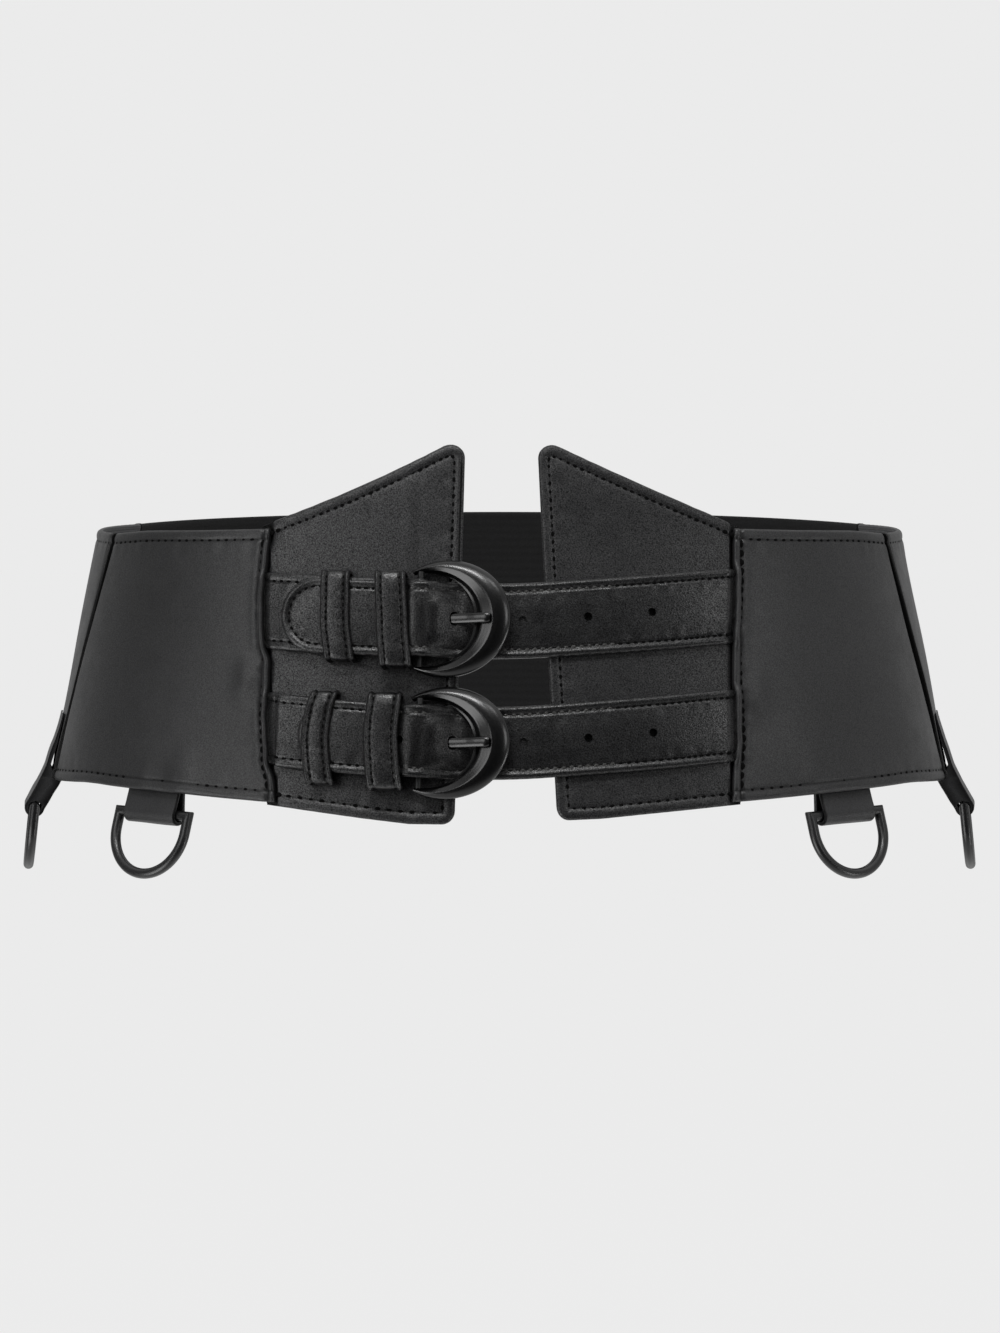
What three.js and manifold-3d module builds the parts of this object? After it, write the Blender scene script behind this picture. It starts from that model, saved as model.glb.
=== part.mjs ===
// Corset waist belt in black leather, standing open as when it is worn.
// Millimetres. X runs to the wearer's left in the front view, Y to the back, Z up.
// Every soft piece is laid out on the waist surface: "along" is the distance round the waist
// from the centre front (plus toward +X), "height" is Z, "out" is the distance off the surface.
import * as THREE from "three";
import { mergeVertices } from "three/addons/utils/BufferGeometryUtils.js";
import Module from "manifold-3d";

const wasm = await Module();
wasm.setup();

// Waist surface: a rounded oval that widens downward
const WAIST = { halfWidth: 132.7, halfDepth: 98, sideFlare: 0.197, frontFlare: 0.16, power: 2.4 };
const GAP = 0.3;
const PANEL = { thick: 2.0, top: 41.8 };
// Columns round the waist and rows up it in each panel's grid
const GRID = { rows: 4, front: 26, side: 18, backSide: 18, elastic: 34 };

// Heights of the side panels' edges, from the back seam (0) to the front seam (1)
const SIDE_EDGES = [
  { across: 0.0, top: 39.6, bottom: -36.6 },
  { across: 0.1, top: 40.1, bottom: -36.1 },
  { across: 0.3, top: 41.0, bottom: -35.1 },
  { across: 0.65, top: 41.5, bottom: -36.2 },
  { across: 1.0, top: 42.2, bottom: -38.2 },
];
// Seam positions: distance from the centre front at the top edge, and how far it moves per mm down
const SEAMS = {
  left: { front: 75.4, frontStep: -0.135, back: 143.4, backStep: 0.236 },
  right: { front: 76.9, frontStep: -0.122, back: 143.4, backStep: 0.236 },
};
const SEAM_RIDGE = { width: 2.2, height: 1.1 };
// Section of the turned edge, from the plain panel (0) to the seam (1)
const RIDGE_SECTION = [
  { across: 0, up: 0 }, { across: 0.2, up: 0.75 }, { across: 0.6, up: 1 }, { across: 1, up: 0.75 },
];
// Front panels: their inner edges, the slope of the top with its flattening, and the bottom's heights
const FRONT = {
  left: {
    edgeTop: 11.3, edgeBottom: 12.4, rise: 0.577, flatten: 0.00197, peak: 70.2,
    foot: [-44.0, -43.9, -42.4, -38.6],
  },
  right: {
    edgeTop: 12.6, edgeBottom: 15.9, rise: 0.5136, flatten: 0.0009, peak: 69.7,
    foot: [-42.9, -42.4, -41.2, -38.7],
  },
};
const FRONT_CORNER = 4;
const FRONT_FOOT_AT = [0, 14, 28, 60];
const FRONT_EDGE = { from: 65, to: -40 };
const BACK_SEAM = 236;
const BACK = { thick: 1.5, inset: 0.3, top: 42.8, seamTop: 40.2, bottom: -33.2, sideInset: 0.1 };

// Straps: centre height and half width along the waist
const STRAP = {
  thick: 1.9, tipRadius: 11, tipWidth: 1.2, tipSteps: 7, holeRadius: 1.25, slotSpare: 0.35,
  tongueEnd: -36, tongueStep: 5, tailStart: 10, tailStep: 7,
};
const HOLE_TOOL = { long: 14, out: 4, sides: 12 };
const STRAPS = {
  upper: { halfWidth: 11.0, end: 75.0, tip: -65.6, holes: [7.0, 26.6, 46.0] },
  lower: { halfWidth: 10.6, end: 71.0, tip: -57.3, holes: [-28.1, 6.8, 25.3, 43.9] },
};
const STRAP_MIDDLE = {
  upper: [{ along: -76, height: 17.6 }, { along: -52, height: 16.2 }, { along: -20, height: 15.3 },
    { along: 5, height: 15.0 }, { along: 76, height: 19.4 }],
  lower: [{ along: -76, height: -16.4 }, { along: -45, height: -19.0 }, { along: -20, height: -20.5 },
    { along: 5, height: -20.6 }, { along: 72, height: -15.6 }],
};
// How far the underside of the long strap stands off the panels
const STRAP_LIFT = [
  { along: -68, out: 2.85 }, { along: -34, out: 2.85 }, { along: -30.5, out: 3.1 },
  { along: -25.7, out: 5.5 }, { along: -21.6, out: 5.5 }, { along: -13.8, out: 0.9 },
  { along: -8, out: 0.6 }, { along: 3, out: 0.4 }, { along: 78, out: 0.3 },
];
const BASE = {
  thick: 1.0, out: 1.5, seamEnd: -72, flatStart: -57, flatEnd: -33, step: 6, foldStart: 5.5,
  slotWide: 4.4, slotLong: 9, slotDeep: 12, slotAhead: 1.2,
};
const BASE_FOLD = { from: 115, to: -120, steps: 10 };
const BASE_STRAPS = {
  upper: { halfWidth: 11.3, raised: 0.6 },
  lower: { halfWidth: 10.6, raised: 0.2 },
};
const KEEPER = { thick: 0.9, corner: 1.1, cornerSteps: 3, sideSteps: 4 };
// Middle line of each strap loop: along at its top and bottom, and how far it bows between them
const KEEPERS = [
  {
    name: "upper_keeper_1", width: 8.9, top: -49.8, bottom: -46.8, bow: -0.6, front: 5.1, high: 29.6, low: 3
  },
  {
    name: "upper_keeper_2", width: 9.3, top: -33.1, bottom: -30.2, bow: 0, front: 7.6, high: 29.3, low: 1.1
  },
  {
    name: "lower_keeper_1", width: 7.9, top: -50.2, bottom: -49.8, bow: -2, front: 5.1, high: -5.7, low: -32.8
  },
  {
    name: "lower_keeper_2", width: 9.6, top: -32.7, bottom: -31.5, bow: -1, front: 7.4, high: -6.2, low: -34.2
  },
];

// Buckles: crescent frame round a straight bar
const BUCKLE = {
  radiusAcross: 19.0, hornTop: 124, hornBottom: 120, bowWidth: 11.1, hornWidth: 1.5,
  bowHeight: 2.0, hornHeight: 0.9, taper: 1.15, steps: 36,
  barRadius: 1.0, barInset: 1.6, barSides: 12, barOut: 2.75, bowOut: 6.7, clear: 0.2,
};
const BUCKLES = {
  upper: { along: -15.8, height: 15.5, radiusUp: 17.3 },
  lower: { along: -15.2, height: -20.7, radiusUp: 16.45 },
};
const BAR_ALONG = -8.0;
const PRONG = { wide: 3.0, thick: 1.2, loopGap: 0.2, restStart: 11.9, restEnd: 13.5 };
const PRONG_HOOK = { from: 40, to: 300, steps: 10 };
// Middle line of the prong between its hook and the bow, from the buckle's middle
const PRONG_SHAFT = [
  { along: -5.2, up: -0.9 }, { along: -2.5, up: -0.4 }, { along: 0.5, up: 0.1 }, { along: 3.5, up: 0.6 },
  { along: 6.4, up: 1.25 }, { along: 9.0, up: 2.1 },
];
// Bow section from the outer edge (0) to the inner wall (1), heights in units of the bow height
const BOW_SECTION = [
  { across: 0.0, up: -0.35 }, { across: 0.0, up: 0.05 }, { across: 0.1, up: 0.5 },
  { across: 0.27, up: 0.86 }, { across: 0.45, up: 1.0 }, { across: 0.53, up: 0.98 },
  { across: 0.82, up: 0.35 }, { across: 1.0, up: -0.15 }, { across: 0.97, up: -0.5 },
  { across: 0.1, up: -0.5 },
];

// Rings and the folded tabs that hold them
const RING = { outerWidth: 29.6, height: 21.5, rod: 3.1, sides: 10, bowSteps: 27, ballRows: 6 };
const TAB = { width: 19.5, thick: 1.3, barGap: 0.2, foldSteps: 12 };
// Tab middle lines above the ring's bar, outer layer first: up the waist, and out from it.
// The fold between them runs round the bar, in degrees from straight out.
const HANGING_TAB = {
  outer: [{ up: 10.2, out: 0.75 }, { up: 6.2, out: 0.75 }], foldFrom: 20, foldTo: -200,
  inner: [{ up: 6.2, out: -0.75 }, { up: 10.2, out: -0.75 }], columns: 2,
};
const SIDE_TAB = {
  outer: [{ up: 28, out: -2.1 }, { up: 20, out: -2.0 }, { up: 13, out: -0.9 }, { up: 6, out: 1.5 }],
  foldFrom: 12, foldTo: -190, inner: [{ up: 8, out: -6.4 }, { up: 14, out: -6.6 }], columns: 5,
};
const RING_PLACES = [
  { name: "front_left", along: -104.4, height: -42.5, out: -4.3, side: false, tip: 1.5, lean: 17 },
  { name: "front_right", along: 104.4, height: -42.5, out: -4.3, side: false, tip: -1.5, lean: 17 },
  { name: "side_left", along: -174.0, height: -46.0, out: 3.1, side: true, tip: 0, lean: 6 },
  { name: "side_right", along: 174.0, height: -46.0, out: 3.1, side: true, tip: 0, lean: 6 },
];

const TURN_STEPS = 2880;
const arcTable = makeArcTable();

function ovalPoint(turn, height) {
  const s = Math.sin(turn);
  const c = Math.cos(turn);
  const share = 2 / WAIST.power;
  const a = WAIST.halfWidth - WAIST.sideFlare * height;
  const b = WAIST.halfDepth - WAIST.frontFlare * height;
  return { x: a * Math.sign(s) * Math.abs(s) ** share, y: -b * Math.sign(c) * Math.abs(c) ** share };
}

// Distance round the waist at height 0 for even steps of the turn, from front to back
function makeArcTable() {
  const table = [0];
  let last = ovalPoint(0, 0);
  for (let i = 1; i <= TURN_STEPS; i += 1) {
    const next = ovalPoint((Math.PI * i) / TURN_STEPS, 0);
    table.push(table[i - 1] + Math.hypot(next.x - last.x, next.y - last.y));
    last = next;
  }
  return table;
}

function halfRound() {
  return arcTable[TURN_STEPS];
}

function turnAt(along) {
  const whole = 2 * halfRound();
  const wrapped = along - whole * Math.round(along / whole);
  const target = Math.abs(wrapped);
  let low = 0;
  let high = TURN_STEPS;
  while (high - low > 1) {
    const middle = (low + high) >> 1;
    if (arcTable[middle] > target) high = middle;
    else low = middle;
  }
  const part = (target - arcTable[low]) / (arcTable[high] - arcTable[low]);
  return (Math.sign(wrapped) * Math.PI * (low + part)) / TURN_STEPS;
}

function onSurface(along, height) {
  const { x, y } = ovalPoint(turnAt(along), height);
  return new THREE.Vector3(x, y, height);
}

// Local axes on the waist surface: round the waist, up the surface and straight out
function axesAt(along, height) {
  const round = onSurface(along + 0.5, height).sub(onSurface(along - 0.5, height)).normalize();
  const up = onSurface(along, height + 0.5).sub(onSurface(along, height - 0.5)).normalize();
  const out = new THREE.Vector3().crossVectors(round, up).normalize();
  return { round, up, out };
}

function place(along, height, out) {
  return onSurface(along, height).addScaledVector(axesAt(along, height).out, out);
}

// The along, height and out of a point near the surface, closed in on from a first guess
function coordinatesOf(point, guess) {
  const found = { ...guess };
  for (let i = 0; i < 6; i += 1) {
    const { round, up, out } = axesAt(found.along, found.height);
    const miss = point.clone().sub(place(found.along, found.height, found.out));
    found.along += miss.dot(round);
    found.height += miss.dot(up) * up.z;
    found.out += miss.dot(out);
  }
  return found;
}

function mix(a, b, share) {
  return a + (b - a) * share;
}

// Straight-line reading of a short table with named columns
function readTable(rows, key, value, at) {
  if (at <= rows[0][key]) return rows[0][value];
  for (let i = 1; i < rows.length; i += 1) {
    if (at <= rows[i][key]) {
      const share = (at - rows[i - 1][key]) / (rows[i][key] - rows[i - 1][key]);
      return mix(rows[i - 1][value], rows[i][value], share);
    }
  }
  return rows[rows.length - 1][value];
}

// Smooth reading of the same kind of table
function smoothTable(rows, key, value, at) {
  const span = rows[rows.length - 1][key] - rows[0][key];
  const step = span / 40;
  let sum = 0;
  for (let i = -2; i <= 2; i += 1) sum += readTable(rows, key, value, at + i * step);
  return sum / 5;
}

function strapMiddle(level, along) {
  return smoothTable(STRAP_MIDDLE[level], "along", "height", along);
}

function geometryFrom(points, faces) {
  const corners = points.flatMap((p) => [p.x, p.y, p.z]);
  const geometry = new THREE.BufferGeometry();
  geometry.setAttribute("position", new THREE.Float32BufferAttribute(corners, 3));
  const inward = volumeOf(points, faces) < 0;
  geometry.setIndex((inward ? faces.map(([a, b, c]) => [a, c, b]) : faces).flat());
  geometry.computeVertexNormals();
  return geometry;
}

function volumeOf(points, faces) {
  let sum = 0;
  for (const [a, b, c] of faces) {
    sum += points[a].dot(new THREE.Vector3().crossVectors(points[b], points[c]));
  }
  return sum / 6;
}

// Closed wall between two grids of points: front(i, j) and back(i, j). A closed one joins its ends
// in i.
function slab(columns, rows, front, back, closed = false) {
  const points = [];
  for (const side of [front, back]) {
    for (let i = 0; i < columns; i += 1) {
      for (let j = 0; j < rows; j += 1) points.push(side(i, j));
    }
  }
  const id = (side, i, j) => side * columns * rows + (i % columns) * rows + j;
  const faces = [];
  const quad = (a, b, c, d) => faces.push([a, b, c], [a, c, d]);
  const steps = closed ? columns : columns - 1;
  for (let i = 0; i < steps; i += 1) {
    for (let j = 0; j < rows - 1; j += 1) {
      quad(id(0, i, j), id(0, i + 1, j), id(0, i + 1, j + 1), id(0, i, j + 1));
      quad(id(1, i, j), id(1, i, j + 1), id(1, i + 1, j + 1), id(1, i + 1, j));
    }
    quad(id(0, i, 0), id(1, i, 0), id(1, i + 1, 0), id(0, i + 1, 0));
    quad(id(0, i, rows - 1), id(0, i + 1, rows - 1), id(1, i + 1, rows - 1), id(1, i, rows - 1));
  }
  for (let j = 0; j < rows - 1 && !closed; j += 1) {
    quad(id(0, 0, j), id(0, 0, j + 1), id(1, 0, j + 1), id(1, 0, j));
    quad(id(0, steps, j), id(1, steps, j), id(1, steps, j + 1), id(0, steps, j + 1));
  }
  return geometryFrom(points, faces);
}

// Solid through a row of closed sections with the same number of points, with flat ends
function loft(sections) {
  const count = sections[0].length;
  const points = sections.flat();
  const faces = [];
  for (let i = 0; i < sections.length - 1; i += 1) {
    for (let j = 0; j < count; j += 1) {
      const a = i * count + j;
      const b = i * count + ((j + 1) % count);
      faces.push([a, b, b + count], [a, b + count, a + count]);
    }
  }
  const last = (sections.length - 1) * count;
  for (let j = 1; j < count - 1; j += 1) {
    faces.push([0, j + 1, j], [last, last + j, last + j + 1]);
  }
  return geometryFrom(points, faces);
}

// Plane path turned into the two faces of a strip of leather
function stripSides(path, thick) {
  return path.map((point, i) => {
    const before = path[Math.max(i - 1, 0)];
    const after = path[Math.min(i + 1, path.length - 1)];
    const dx = after.x - before.x;
    const dy = after.y - before.y;
    const long = Math.hypot(dx, dy);
    const nx = (-dy / long) * (thick / 2);
    const ny = (dx / long) * (thick / 2);
    return { plus: { x: point.x + nx, y: point.y + ny }, minus: { x: point.x - nx, y: point.y - ny } };
  });
}

// Points of an arc in the plane, in even steps between two angles in degrees
function arcPath(centre, radius, { from, to, steps }) {
  const path = [];
  for (let i = 0; i <= steps; i += 1) {
    const turn = (mix(from, to, i / steps) * Math.PI) / 180;
    path.push({ x: centre.x + radius * Math.cos(turn), y: centre.y + radius * Math.sin(turn) });
  }
  return path;
}

function toSolid(geometry) {
  const bare = geometry.clone();
  bare.deleteAttribute("normal");
  bare.deleteAttribute("uv");
  const merged = mergeVertices(bare, 1e-4);
  return new wasm.Manifold(new wasm.Mesh({
    numProp: 3,
    vertProperties: new Float32Array(merged.attributes.position.array),
    triVerts: new Uint32Array(merged.index.array),
  }));
}

function fromSolid(solid) {
  const { vertProperties, triVerts } = solid.getMesh();
  const geometry = new THREE.BufferGeometry();
  geometry.setAttribute("position", new THREE.Float32BufferAttribute(vertProperties, 3));
  geometry.setIndex(new THREE.Uint32BufferAttribute(triVerts, 1));
  geometry.computeVertexNormals();
  return geometry;
}

function join(...geometries) {
  return fromSolid(geometries.map(toSolid).reduce((all, next) => all.add(next)));
}

function cut(geometry, ...tools) {
  return fromSolid(tools.map(toSolid).reduce((left, tool) => left.subtract(tool), toSolid(geometry)));
}

// Matrix whose axes are round the waist, up and out at one place on it
function localFrame(along, height, out) {
  const axes = axesAt(along, height);
  const frame = new THREE.Matrix4().makeBasis(axes.round, axes.up, axes.out);
  return frame.setPosition(place(along, height, out));
}

// Where the seams lie at a height
function frontSeam(side, height) {
  return SEAMS[side].front + SEAMS[side].frontStep * (PANEL.top - height);
}

function backSeam(side, height) {
  return SEAMS[side].back + SEAMS[side].backStep * (PANEL.top - height);
}

// Front panels
function frontEdges(side, fromEdge) {
  const { rise, flatten, peak, foot } = FRONT[side];
  const slant = Math.hypot(1, rise);
  const r = FRONT_CORNER;
  const centreHigh = peak - rise * r - r * slant;
  const tangent = r + (r * rise) / slant;
  let top = peak - rise * fromEdge + flatten * fromEdge * fromEdge;
  if (fromEdge < tangent) top = centreHigh + Math.sqrt(Math.max(r * r - (fromEdge - r) ** 2, 0));
  const rows = FRONT_FOOT_AT.map((at, i) => ({ at, height: foot[i] }));
  let bottom = readTable(rows, "at", "height", fromEdge);
  if (fromEdge < r) bottom += r - Math.sqrt(Math.max(r * r - (r - fromEdge) ** 2, 0));
  return { top, bottom };
}

function frontPanel(side) {
  const sign = side === "left" ? -1 : 1;
  const seam = SEAMS[side];
  const { edgeTop, edgeBottom } = FRONT[side];
  const width = seam.front + seam.frontStep * PANEL.top - edgeTop;
  const grid = (out) => (i, j) => {
    const share = 1 - Math.cos((Math.PI / 2) * (i / (GRID.front - 1)));
    const { top, bottom } = frontEdges(side, share * width);
    const height = mix(bottom, top, j / (GRID.rows - 1));
    const down = (FRONT_EDGE.from - height) / (FRONT_EDGE.from - FRONT_EDGE.to);
    const edge = mix(edgeTop, edgeBottom, Math.min(Math.max(down, 0), 1));
    return place(sign * mix(edge, frontSeam(side, height) - GAP, share), height, out);
  };
  return slab(GRID.front, GRID.rows, grid(0), grid(-PANEL.thick));
}

// Side panels, each with the turned edge that covers the front seam
function sidePanel(side) {
  const sign = side === "left" ? -1 : 1;
  const ridgeShare = SEAM_RIDGE.width / (SEAMS[side].back - SEAMS[side].front);
  const columns = [];
  for (let i = 0; i < GRID.side; i += 1) {
    columns.push({ share: (i / GRID.side) * (1 - ridgeShare), out: 0 });
  }
  for (const { across, up } of RIDGE_SECTION) {
    columns.push({ share: 1 - ridgeShare * (1 - across), out: SEAM_RIDGE.height * up });
  }
  const grid = (face) => (i, j) => {
    const { share, out } = columns[i];
    const top = smoothTable(SIDE_EDGES, "across", "top", share);
    const bottom = smoothTable(SIDE_EDGES, "across", "bottom", share);
    const height = mix(bottom, top, j / (GRID.rows - 1));
    const along = mix(backSeam(side, height), frontSeam(side, height), share);
    return place(sign * along, height, face === "front" ? out : -PANEL.thick);
  };
  return slab(columns.length, GRID.rows, grid("front"), grid("back"));
}

function backSidePanel(side) {
  const sign = side === "left" ? -1 : 1;
  const grid = (out) => (i, j) => {
    const share = i / (GRID.backSide - 1);
    const top = mix(SIDE_EDGES[0].top, BACK.seamTop, share);
    const bottom = mix(SIDE_EDGES[0].bottom, BACK.bottom, share);
    const height = mix(bottom, top, j / (GRID.rows - 1));
    return place(sign * mix(backSeam(side, height) + GAP, BACK_SEAM - GAP, share), height, out);
  };
  return slab(GRID.backSide, GRID.rows, grid(-BACK.sideInset), grid(-PANEL.thick));
}

function elasticBack() {
  const wide = 2 * (halfRound() - BACK_SEAM);
  const grid = (out) => (i, j) => {
    const share = i / (GRID.elastic - 1);
    const top = mix(BACK.seamTop, BACK.top, Math.sin(Math.PI * share));
    const height = mix(BACK.bottom, top, j / (GRID.rows - 1));
    return place(BACK_SEAM + wide * share, height, out);
  };
  return slab(GRID.elastic, GRID.rows, grid(-BACK.inset), grid(-BACK.inset - BACK.thick));
}

// Long straps with a rounded tongue, plain holes and the slot that the prong stands in
function longStrap(level) {
  const { halfWidth, end, tip, holes } = STRAPS[level];
  const stations = [];
  for (let i = 0; i <= STRAP.tipSteps; i += 1) {
    const turn = (Math.PI / 2) * (i / STRAP.tipSteps);
    const along = tip + STRAP.tipRadius * (1 - Math.cos(turn));
    stations.push({ along, half: Math.max(halfWidth * Math.sin(turn), STRAP.tipWidth) });
  }
  const bodyStart = tip + STRAP.tipRadius;
  const bends = STRAP_LIFT.map((row) => row.along).filter((at) => at > bodyStart + 1 && at < end - 1);
  const plain = [];
  for (let at = bodyStart; at < STRAP.tongueEnd; at += STRAP.tongueStep) plain.push(at);
  for (let at = STRAP.tailStart; at < end - STRAP.tailStep / 2; at += STRAP.tailStep) plain.push(at);
  for (const along of [...bends, ...plain, end].sort((a, b) => a - b)) {
    stations.push({ along, half: halfWidth });
  }
  const rows = 3;
  const grid = (face) => (i, j) => {
    const { along, half } = stations[i];
    const height = strapMiddle(level, along) + half * (j / (rows - 1) * 2 - 1);
    const out = readTable(STRAP_LIFT, "along", "out", along) + (face === "front" ? STRAP.thick : 0);
    return place(i === stations.length - 1 ? sewnEdge("right", height) : along, height, out);
  };
  const strap = slab(stations.length, rows, grid("front"), grid("back"));
  return cut(strap, ...holes.map((at) => holeTool(level, at)), prongShape(level, STRAP.slotSpare));
}

// A sewn strap end follows the slanted seam, just clear of its ridge
function sewnEdge(side, height) {
  return frontSeam(side, height) - 2 * GAP;
}

function holeTool(level, along) {
  const { long, out, sides } = HOLE_TOOL;
  const tool = new THREE.CylinderGeometry(STRAP.holeRadius, STRAP.holeRadius, long, sides);
  tool.rotateX(Math.PI / 2);
  return tool.applyMatrix4(localFrame(along, strapMiddle(level, along), out));
}

// Short strap under the tongue: it folds round the buckle bar, with a slot for the prong
function baseStrap(level) {
  const { halfWidth, raised } = BASE_STRAPS[level];
  const ring = BUCKLE.barRadius + BUCKLE.clear + BASE.thick / 2;
  const flat = BASE.out + BASE.thick / 2;
  const edgePath = (high) => {
    const bar = barPlace(level, high);
    const path = [{ x: BASE.seamEnd, y: GAP + BASE.thick / 2 }];
    for (let at = BASE.flatStart - BASE.step; at <= BASE.flatEnd; at += BASE.step) {
      path.push({ x: at, y: flat });
    }
    path.push({ x: bar.along - BASE.foldStart, y: flat });
    path.push(...arcPath({ x: bar.along, y: bar.out }, ring, BASE_FOLD));
    return stripSides(path, BASE.thick);
  };
  const edges = [edgePath(raised - halfWidth), edgePath(raised + halfWidth)];
  const grid = (face) => (i, j) => {
    const { x, y } = edges[j][i][face];
    const height = strapMiddle(level, x) + raised + (j * 2 - 1) * halfWidth;
    return place(i === 0 ? -sewnEdge("left", height) : x, height, y);
  };
  const strap = slab(edges[0].length, 2, grid("plus"), grid("minus"));
  const slot = new THREE.BoxGeometry(BASE.slotLong, BASE.slotWide, BASE.slotDeep);
  slot.translate(BAR_ALONG + BASE.slotAhead, 0, 0).applyMatrix4(buckleFrame(level));
  return cut(strap, slot);
}

// Strap loops: a flat band bent round both straps
function keeper({ width, top, bottom, bow, front, high, low }) {
  const { corner } = KEEPER;
  const outer = front + KEEPER.thick - corner;
  const inner = GAP + corner;
  const loop = [];
  const side = (from, to, out, turn) => {
    for (let i = 1; i < KEEPER.sideSteps; i += 1) {
      loop.push({ height: mix(from, to, i / KEEPER.sideSteps), out, turn });
    }
  };
  const bend = (height, out, from) => {
    for (let i = 0; i <= KEEPER.cornerSteps; i += 1) {
      loop.push({ height, out, turn: ((from + (90 * i) / KEEPER.cornerSteps) * Math.PI) / 180 });
    }
  };
  bend(high - corner, outer, 0);
  side(high - corner, low + corner, outer, Math.PI / 2);
  bend(low + corner, outer, 90);
  bend(low + corner, inner, 180);
  side(low + corner, high - corner, inner, -Math.PI / 2);
  bend(high - corner, inner, 270);
  const grid = (depth) => (i, j) => {
    const { height, out, turn } = loop[i];
    const reach = corner - depth;
    const z = height + reach * Math.cos(turn);
    const rise = (z - low) / (high - low);
    const along = mix(bottom, top, rise) + bow * 4 * rise * (1 - rise) + (j - 0.5) * width;
    return place(along, z, out + reach * Math.sin(turn));
  };
  return slab(loop.length, 2, grid(0), grid(KEEPER.thick), true);
}

// Buckles
function buckleFrame(level) {
  const { along, height } = BUCKLES[level];
  const lean = Math.atan((BUCKLE.bowOut - BUCKLE.barOut) / (BUCKLE.radiusAcross - BAR_ALONG));
  const middleOut = BUCKLE.barOut - BAR_ALONG * Math.tan(lean);
  const frame = localFrame(along, height, middleOut);
  return frame.multiply(new THREE.Matrix4().makeRotationY(-lean));
}

// Where the bar's middle line lies on the waist surface, at a height above the buckle's middle
function barPlace(level, high) {
  const { along, height } = BUCKLES[level];
  const point = new THREE.Vector3(BAR_ALONG, high, 0).applyMatrix4(buckleFrame(level));
  return coordinatesOf(point, { along: along + BAR_ALONG, height: height + high, out: BUCKLE.barOut });
}

function buckle(level) {
  const { radiusUp } = BUCKLES[level];
  const sections = [];
  for (let i = 0; i <= BUCKLE.steps; i += 1) {
    const turn = (i / BUCKLE.steps) * 2 - 1;
    const angle = (turn * (turn > 0 ? BUCKLE.hornTop : BUCKLE.hornBottom) * Math.PI) / 180;
    const fullness = Math.max(Math.cos(turn * (Math.PI / 2)), 0) ** BUCKLE.taper;
    const width = mix(BUCKLE.hornWidth, BUCKLE.bowWidth, fullness);
    const high = mix(BUCKLE.hornHeight, BUCKLE.bowHeight, Math.sqrt(fullness));
    const nx = Math.cos(angle) / BUCKLE.radiusAcross;
    const ny = Math.sin(angle) / radiusUp;
    const long = Math.hypot(nx, ny);
    sections.push(BOW_SECTION.map(({ across, up }) => new THREE.Vector3(
      BUCKLE.radiusAcross * Math.cos(angle) - (nx / long) * width * across,
      radiusUp * Math.sin(angle) - (ny / long) * width * across,
      high * up,
    )));
  }
  const reach = Math.sqrt(1 - (BAR_ALONG / BUCKLE.radiusAcross) ** 2);
  const barLong = 2 * (radiusUp * reach - BUCKLE.barInset);
  const bar = new THREE.CylinderGeometry(BUCKLE.barRadius, BUCKLE.barRadius, barLong, BUCKLE.barSides);
  bar.translate(BAR_ALONG, 0, 0);
  return join(loft(sections), bar).applyMatrix4(buckleFrame(level));
}

// Flat prong: hooked round the bar, up through the strap and onto the bow.
// With some spare it is also the shape of the slot that the strap has for it.
function prongShape(level, spare) {
  const ring = BUCKLE.barRadius + PRONG.loopGap + PRONG.thick / 2;
  const path = spare === 0 ? arcPath({ x: BAR_ALONG, y: 0 }, ring, PRONG_HOOK) : [];
  for (const { along, up } of PRONG_SHAFT) path.push({ x: along, y: up });
  const onBow = BUCKLE.bowHeight + PRONG.thick / 2 + GAP;
  for (const along of [PRONG.restStart, PRONG.restEnd]) path.push({ x: along, y: onBow });
  const sides = stripSides(path, PRONG.thick + 2 * spare);
  const half = PRONG.wide / 2 + spare;
  const grid = (face) => (i, j) => {
    const { x, y } = sides[i][face];
    return new THREE.Vector3(x, (j * 2 - 1) * half, y);
  };
  return slab(path.length, 2, grid("plus"), grid("minus")).applyMatrix4(buckleFrame(level));
}

// Rings: bent rod with a straight bar, hanging in the fold of its tab
class RingBow extends THREE.Curve {
  getPoint(t) {
    const radius = (RING.outerWidth - RING.rod) / 2;
    const arm = RING.height - RING.rod - radius;
    const whole = 2 * arm + Math.PI * radius;
    const at = t * whole;
    if (at < arm) return new THREE.Vector3(-radius, -at, 0);
    if (at > whole - arm) return new THREE.Vector3(radius, -(whole - at), 0);
    const angle = (at - arm) / radius;
    return new THREE.Vector3(-radius * Math.cos(angle), -arm - radius * Math.sin(angle), 0);
  }
}

// Frame on the ring's bar: upright for the ring, which hangs, or leaning with the waist for the tab
function barFrame({ along, height, out, tip }, upright) {
  const axes = axesAt(along, height);
  const level = new THREE.Vector3(axes.out.x, axes.out.y, 0).normalize();
  const bar = axes.round.applyAxisAngle(level, (-tip * Math.PI) / 180);
  const away = upright ? level : axes.out;
  away.addScaledVector(bar, -away.dot(bar)).normalize();
  const up = new THREE.Vector3().crossVectors(away, bar);
  return new THREE.Matrix4().makeBasis(bar, up, away).setPosition(place(along, height, out));
}

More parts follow.
